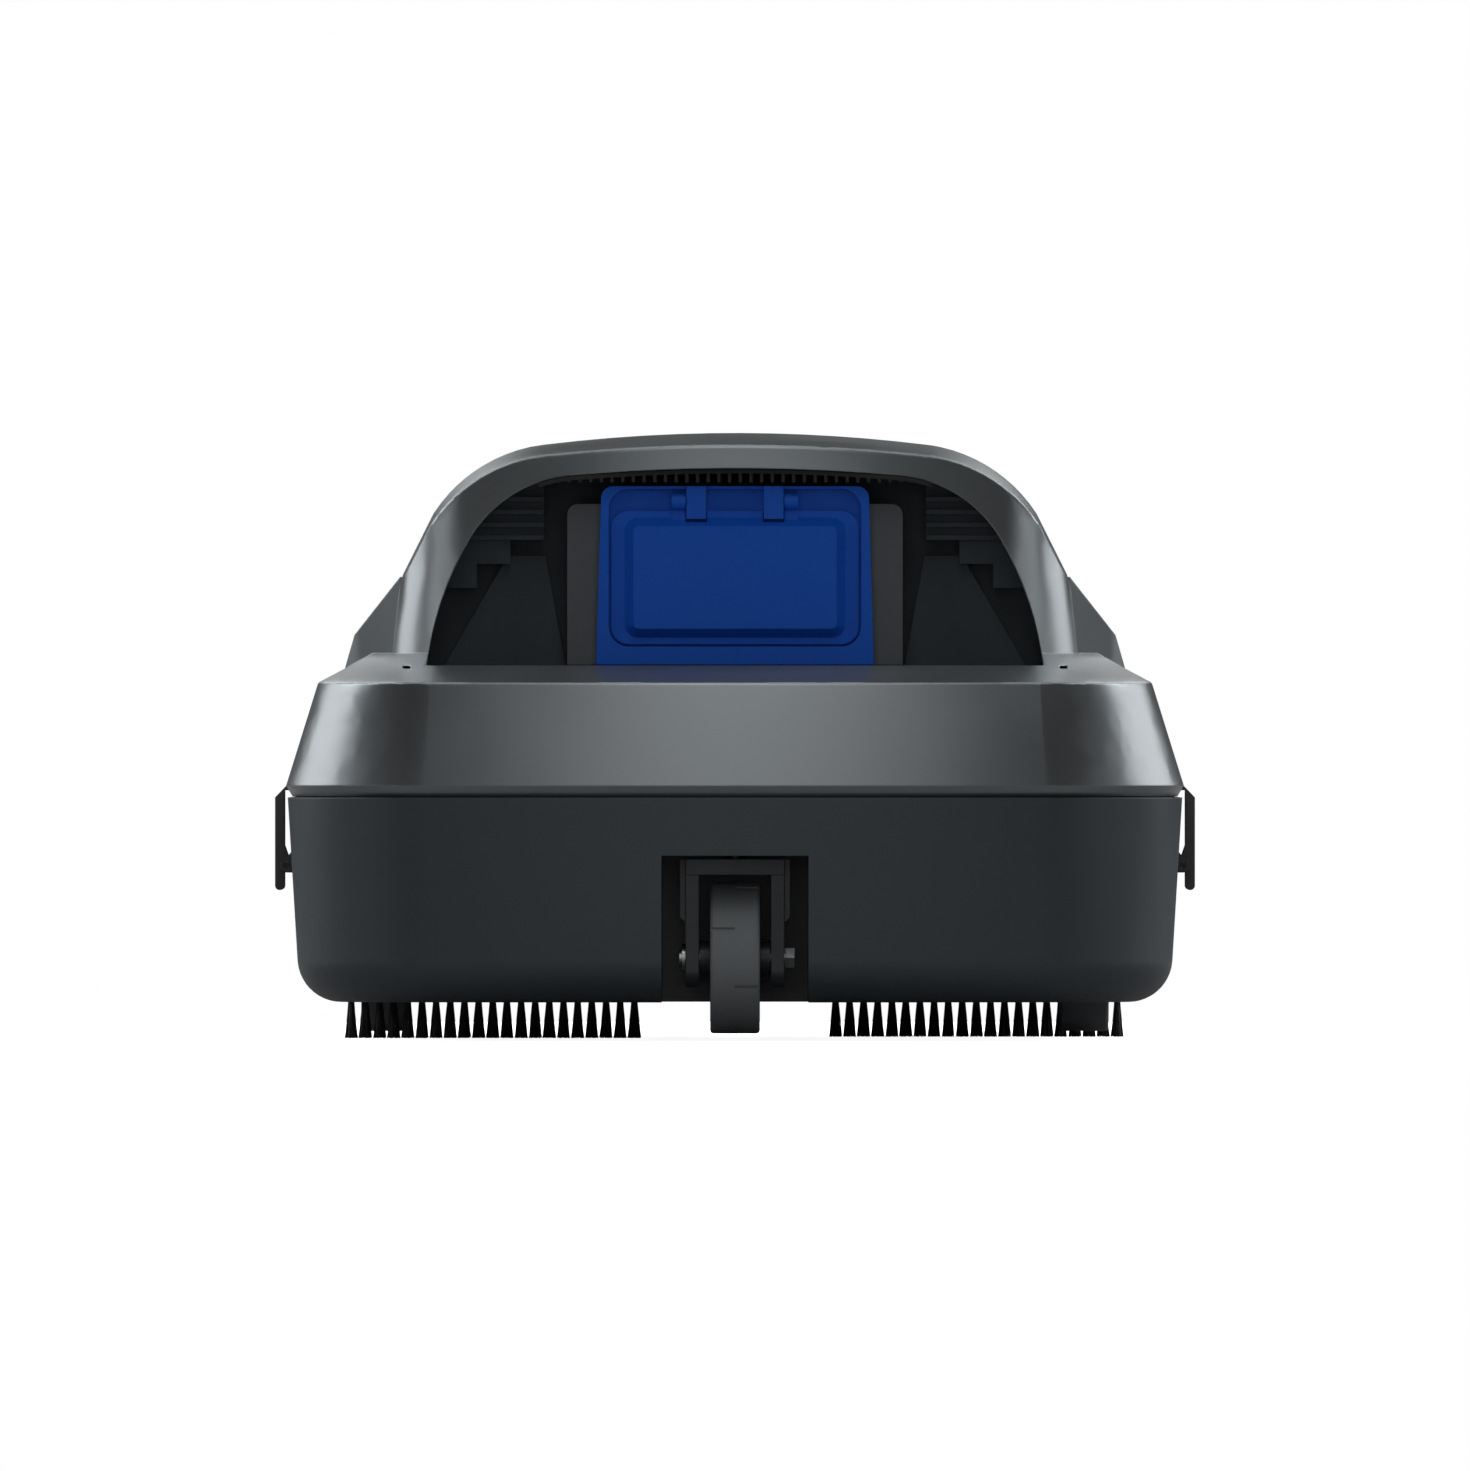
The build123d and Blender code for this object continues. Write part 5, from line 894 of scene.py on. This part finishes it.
# The paper floor: its radius, how far it lies below the bristle tips, its fibres,
# where it starts to run out to white and where it is white, and its glow at both places
FLOOR_RADIUS = 1.2
FLOOR_DROP = 0.0005
FIBRE_SIZE = 2 * MM
FIBRE_DEPTH = 0.02 * MM
FIBRE_STRENGTH = 0.3
FADE_START, FADE_END = 0.25, 0.7
GLOW_NEAR, GLOW_FAR = 0.93, 1.1
# Light that the floor and the room give back to the cleaner
FLOOR_BOUNCE = (0.3, 0.3, 0.3, 1)
ROOM_LIGHT = 0.01
WHITE = (1, 1, 1, 1)
# Width of the camera's sensor in millimetres, and how far it sees in metres
SENSOR_WIDTH = 36
CLIP_END = 100


def seamless_paper(tint):
    """Seamless paper, matt: it runs out to white, with a soft shade where the cleaner stands."""
    material, tree = blank_material("paper_seamless")
    place = node(tree, "ShaderNodeTexCoord").outputs["Object"]
    reach = node(tree, "ShaderNodeVectorMath", {0: place}, operation="LENGTH")
    fade = node(
        tree,
        "ShaderNodeMapRange",
        {
            "Value": reach.outputs["Value"],
            "From Min": FADE_START,
            "From Max": FADE_END,
            "To Min": GLOW_NEAR,
            "To Max": GLOW_FAR,
        },
    )
    glow = node(
        tree, "ShaderNodeEmission", {"Color": WHITE, "Strength": fade.outputs["Result"]}
    )
    fibre = node(
        tree, "ShaderNodeTexNoise", {"Vector": place, "Scale": 1 / FIBRE_SIZE, "Detail": 3.0}
    )
    bump = node(
        tree,
        "ShaderNodeBump",
        {
            "Strength": FIBRE_STRENGTH,
            "Distance": FIBRE_DEPTH,
            "Height": fibre.outputs["Fac"],
        },
    )
    matt = node(
        tree, "ShaderNodeBsdfDiffuse", {"Color": [*tint, 1], "Normal": bump.outputs["Normal"]}
    )
    seen = node(
        tree, "ShaderNodeAddShader", {0: glow.outputs["Emission"], 1: matt.outputs["BSDF"]}
    )
    dim = node(tree, "ShaderNodeBsdfDiffuse", {"Color": FLOOR_BOUNCE})
    path = node(tree, "ShaderNodeLightPath")
    both = node(
        tree,
        "ShaderNodeMixShader",
        {0: path.outputs["Is Camera Ray"], 1: dim.outputs["BSDF"], 2: seen.outputs["Shader"]},
    )
    node(tree, "ShaderNodeOutputMaterial", {"Surface": both.outputs["Shader"]})
    return material


def lay_floor(scene):
    """A round sheet of paper under the cleaner."""
    shape = bmesh.new()
    bmesh.ops.create_circle(shape, cap_ends=True, segments=96, radius=FLOOR_RADIUS)
    mesh = bpy.data.meshes.new("floor_paper")
    shape.to_mesh(mesh)
    shape.free()
    mesh.materials.append(seamless_paper(scene.cleaner.colours.floor))
    floor = bpy.data.objects.new("floor_paper", mesh)
    floor.location.z = -FLOOR_DROP
    scene.collection.objects.link(floor)


def white_room(scene):
    """A room that is white where it is seen, and dim as a light."""
    world = bpy.data.worlds.new("studio_white")
    scene.world = world
    world.use_nodes = True
    tree = world.node_tree
    tree.nodes.clear()
    path = node(tree, "ShaderNodeLightPath")
    seen = node(tree, "ShaderNodeBackground", {"Color": WHITE, "Strength": 1.0})
    lit = node(tree, "ShaderNodeBackground", {"Color": WHITE, "Strength": ROOM_LIGHT})
    room = node(
        tree,
        "ShaderNodeMixShader",
        {
            0: path.outputs["Is Camera Ray"],
            1: lit.outputs["Background"],
            2: seen.outputs["Background"],
        },
    )
    node(tree, "ShaderNodeOutputWorld", {"Surface": room.outputs["Shader"]})


def rear_camera(scene):
    """A level camera far behind the cleaner, with a lens to match."""
    stage = scene.cleaner.stage
    camera = bpy.data.cameras.new("rear_camera")
    camera.sensor_width = SENSOR_WIDTH
    camera.sensor_fit = "HORIZONTAL"
    camera.lens = SENSOR_WIDTH * stage.distance / stage.picture_width
    camera.clip_end = CLIP_END
    holder = bpy.data.objects.new("rear_camera", camera)
    holder.location = (0, -stage.distance, stage.eye_height)
    holder.rotation_euler = (math.pi / 2, 0, 0)
    scene.collection.objects.link(holder)
    scene.camera = holder


class CLEANER_OT_stage(bpy.types.Operator):
    """Set the floor, the studio light and the camera"""

    bl_idname = "cleaner.stage"
    bl_label = "Stage"

    def execute(self, context):
        scene = context.scene
        scene.view_settings.view_transform = "Standard"
        lay_floor(scene)
        white_room(scene)
        for name, (azimuth, elevation, *size) in SOFTBOXES.items():
            watts = getattr(scene.cleaner.stage, f"{name}_power")
            if azimuth == 0:
                softbox(name, azimuth, elevation, size, watts)
            else:
                softbox(f"{name}_left", -azimuth, elevation, size, watts)
                softbox(f"{name}_right", azimuth, elevation, size, watts)
        rear_camera(scene)
        return {"FINISHED"}


STEPS = (
    CLEANER_OT_stage,
    CLEANER_OT_leads,
    CLEANER_OT_cover,
    CLEANER_OT_outlets,
    CLEANER_OT_controls,
    CLEANER_OT_hull,
    CLEANER_OT_wheels,
    CLEANER_OT_power,
    CLEANER_OT_brushes,
    CLEANER_OT_filter,
)


class CLEANER_PT_panel(bpy.types.Panel):
    """The pool cleaner's settings and steps"""

    bl_idname = "CLEANER_PT_panel"
    bl_label = "Pool cleaner"
    bl_space_type = "VIEW_3D"
    bl_region_type = "UI"
    bl_category = "Pool cleaner"

    def draw(self, context):
        settings = context.scene.cleaner
        for group in (settings.colours, settings.sizes, settings.stage):
            box = self.layout.box()
            for name in group.bl_rna.properties.keys():
                if name not in ("rna_type", "name"):
                    box.prop(group, name)
        for step in STEPS:
            self.layout.operator(step.bl_idname)


CLASSES = (CleanerColours, CleanerSizes, CleanerStage, CleanerSettings, *STEPS, CLEANER_PT_panel)


def register():
    """Add the classes and the scene's settings."""
    for made in CLASSES:
        bpy.utils.register_class(made)
    bpy.types.Scene.cleaner = PointerProperty(type=CleanerSettings)


def unregister():
    """Take the scene's settings and the classes away."""
    del bpy.types.Scene.cleaner
    for made in reversed(CLASSES):
        bpy.utils.unregister_class(made)


def main():
    """Run every step in order."""
    register()
    for step in STEPS:
        group, name = step.bl_idname.split(".")
        getattr(getattr(bpy.ops, group), name)()


if __name__ == "__main__":
    main()
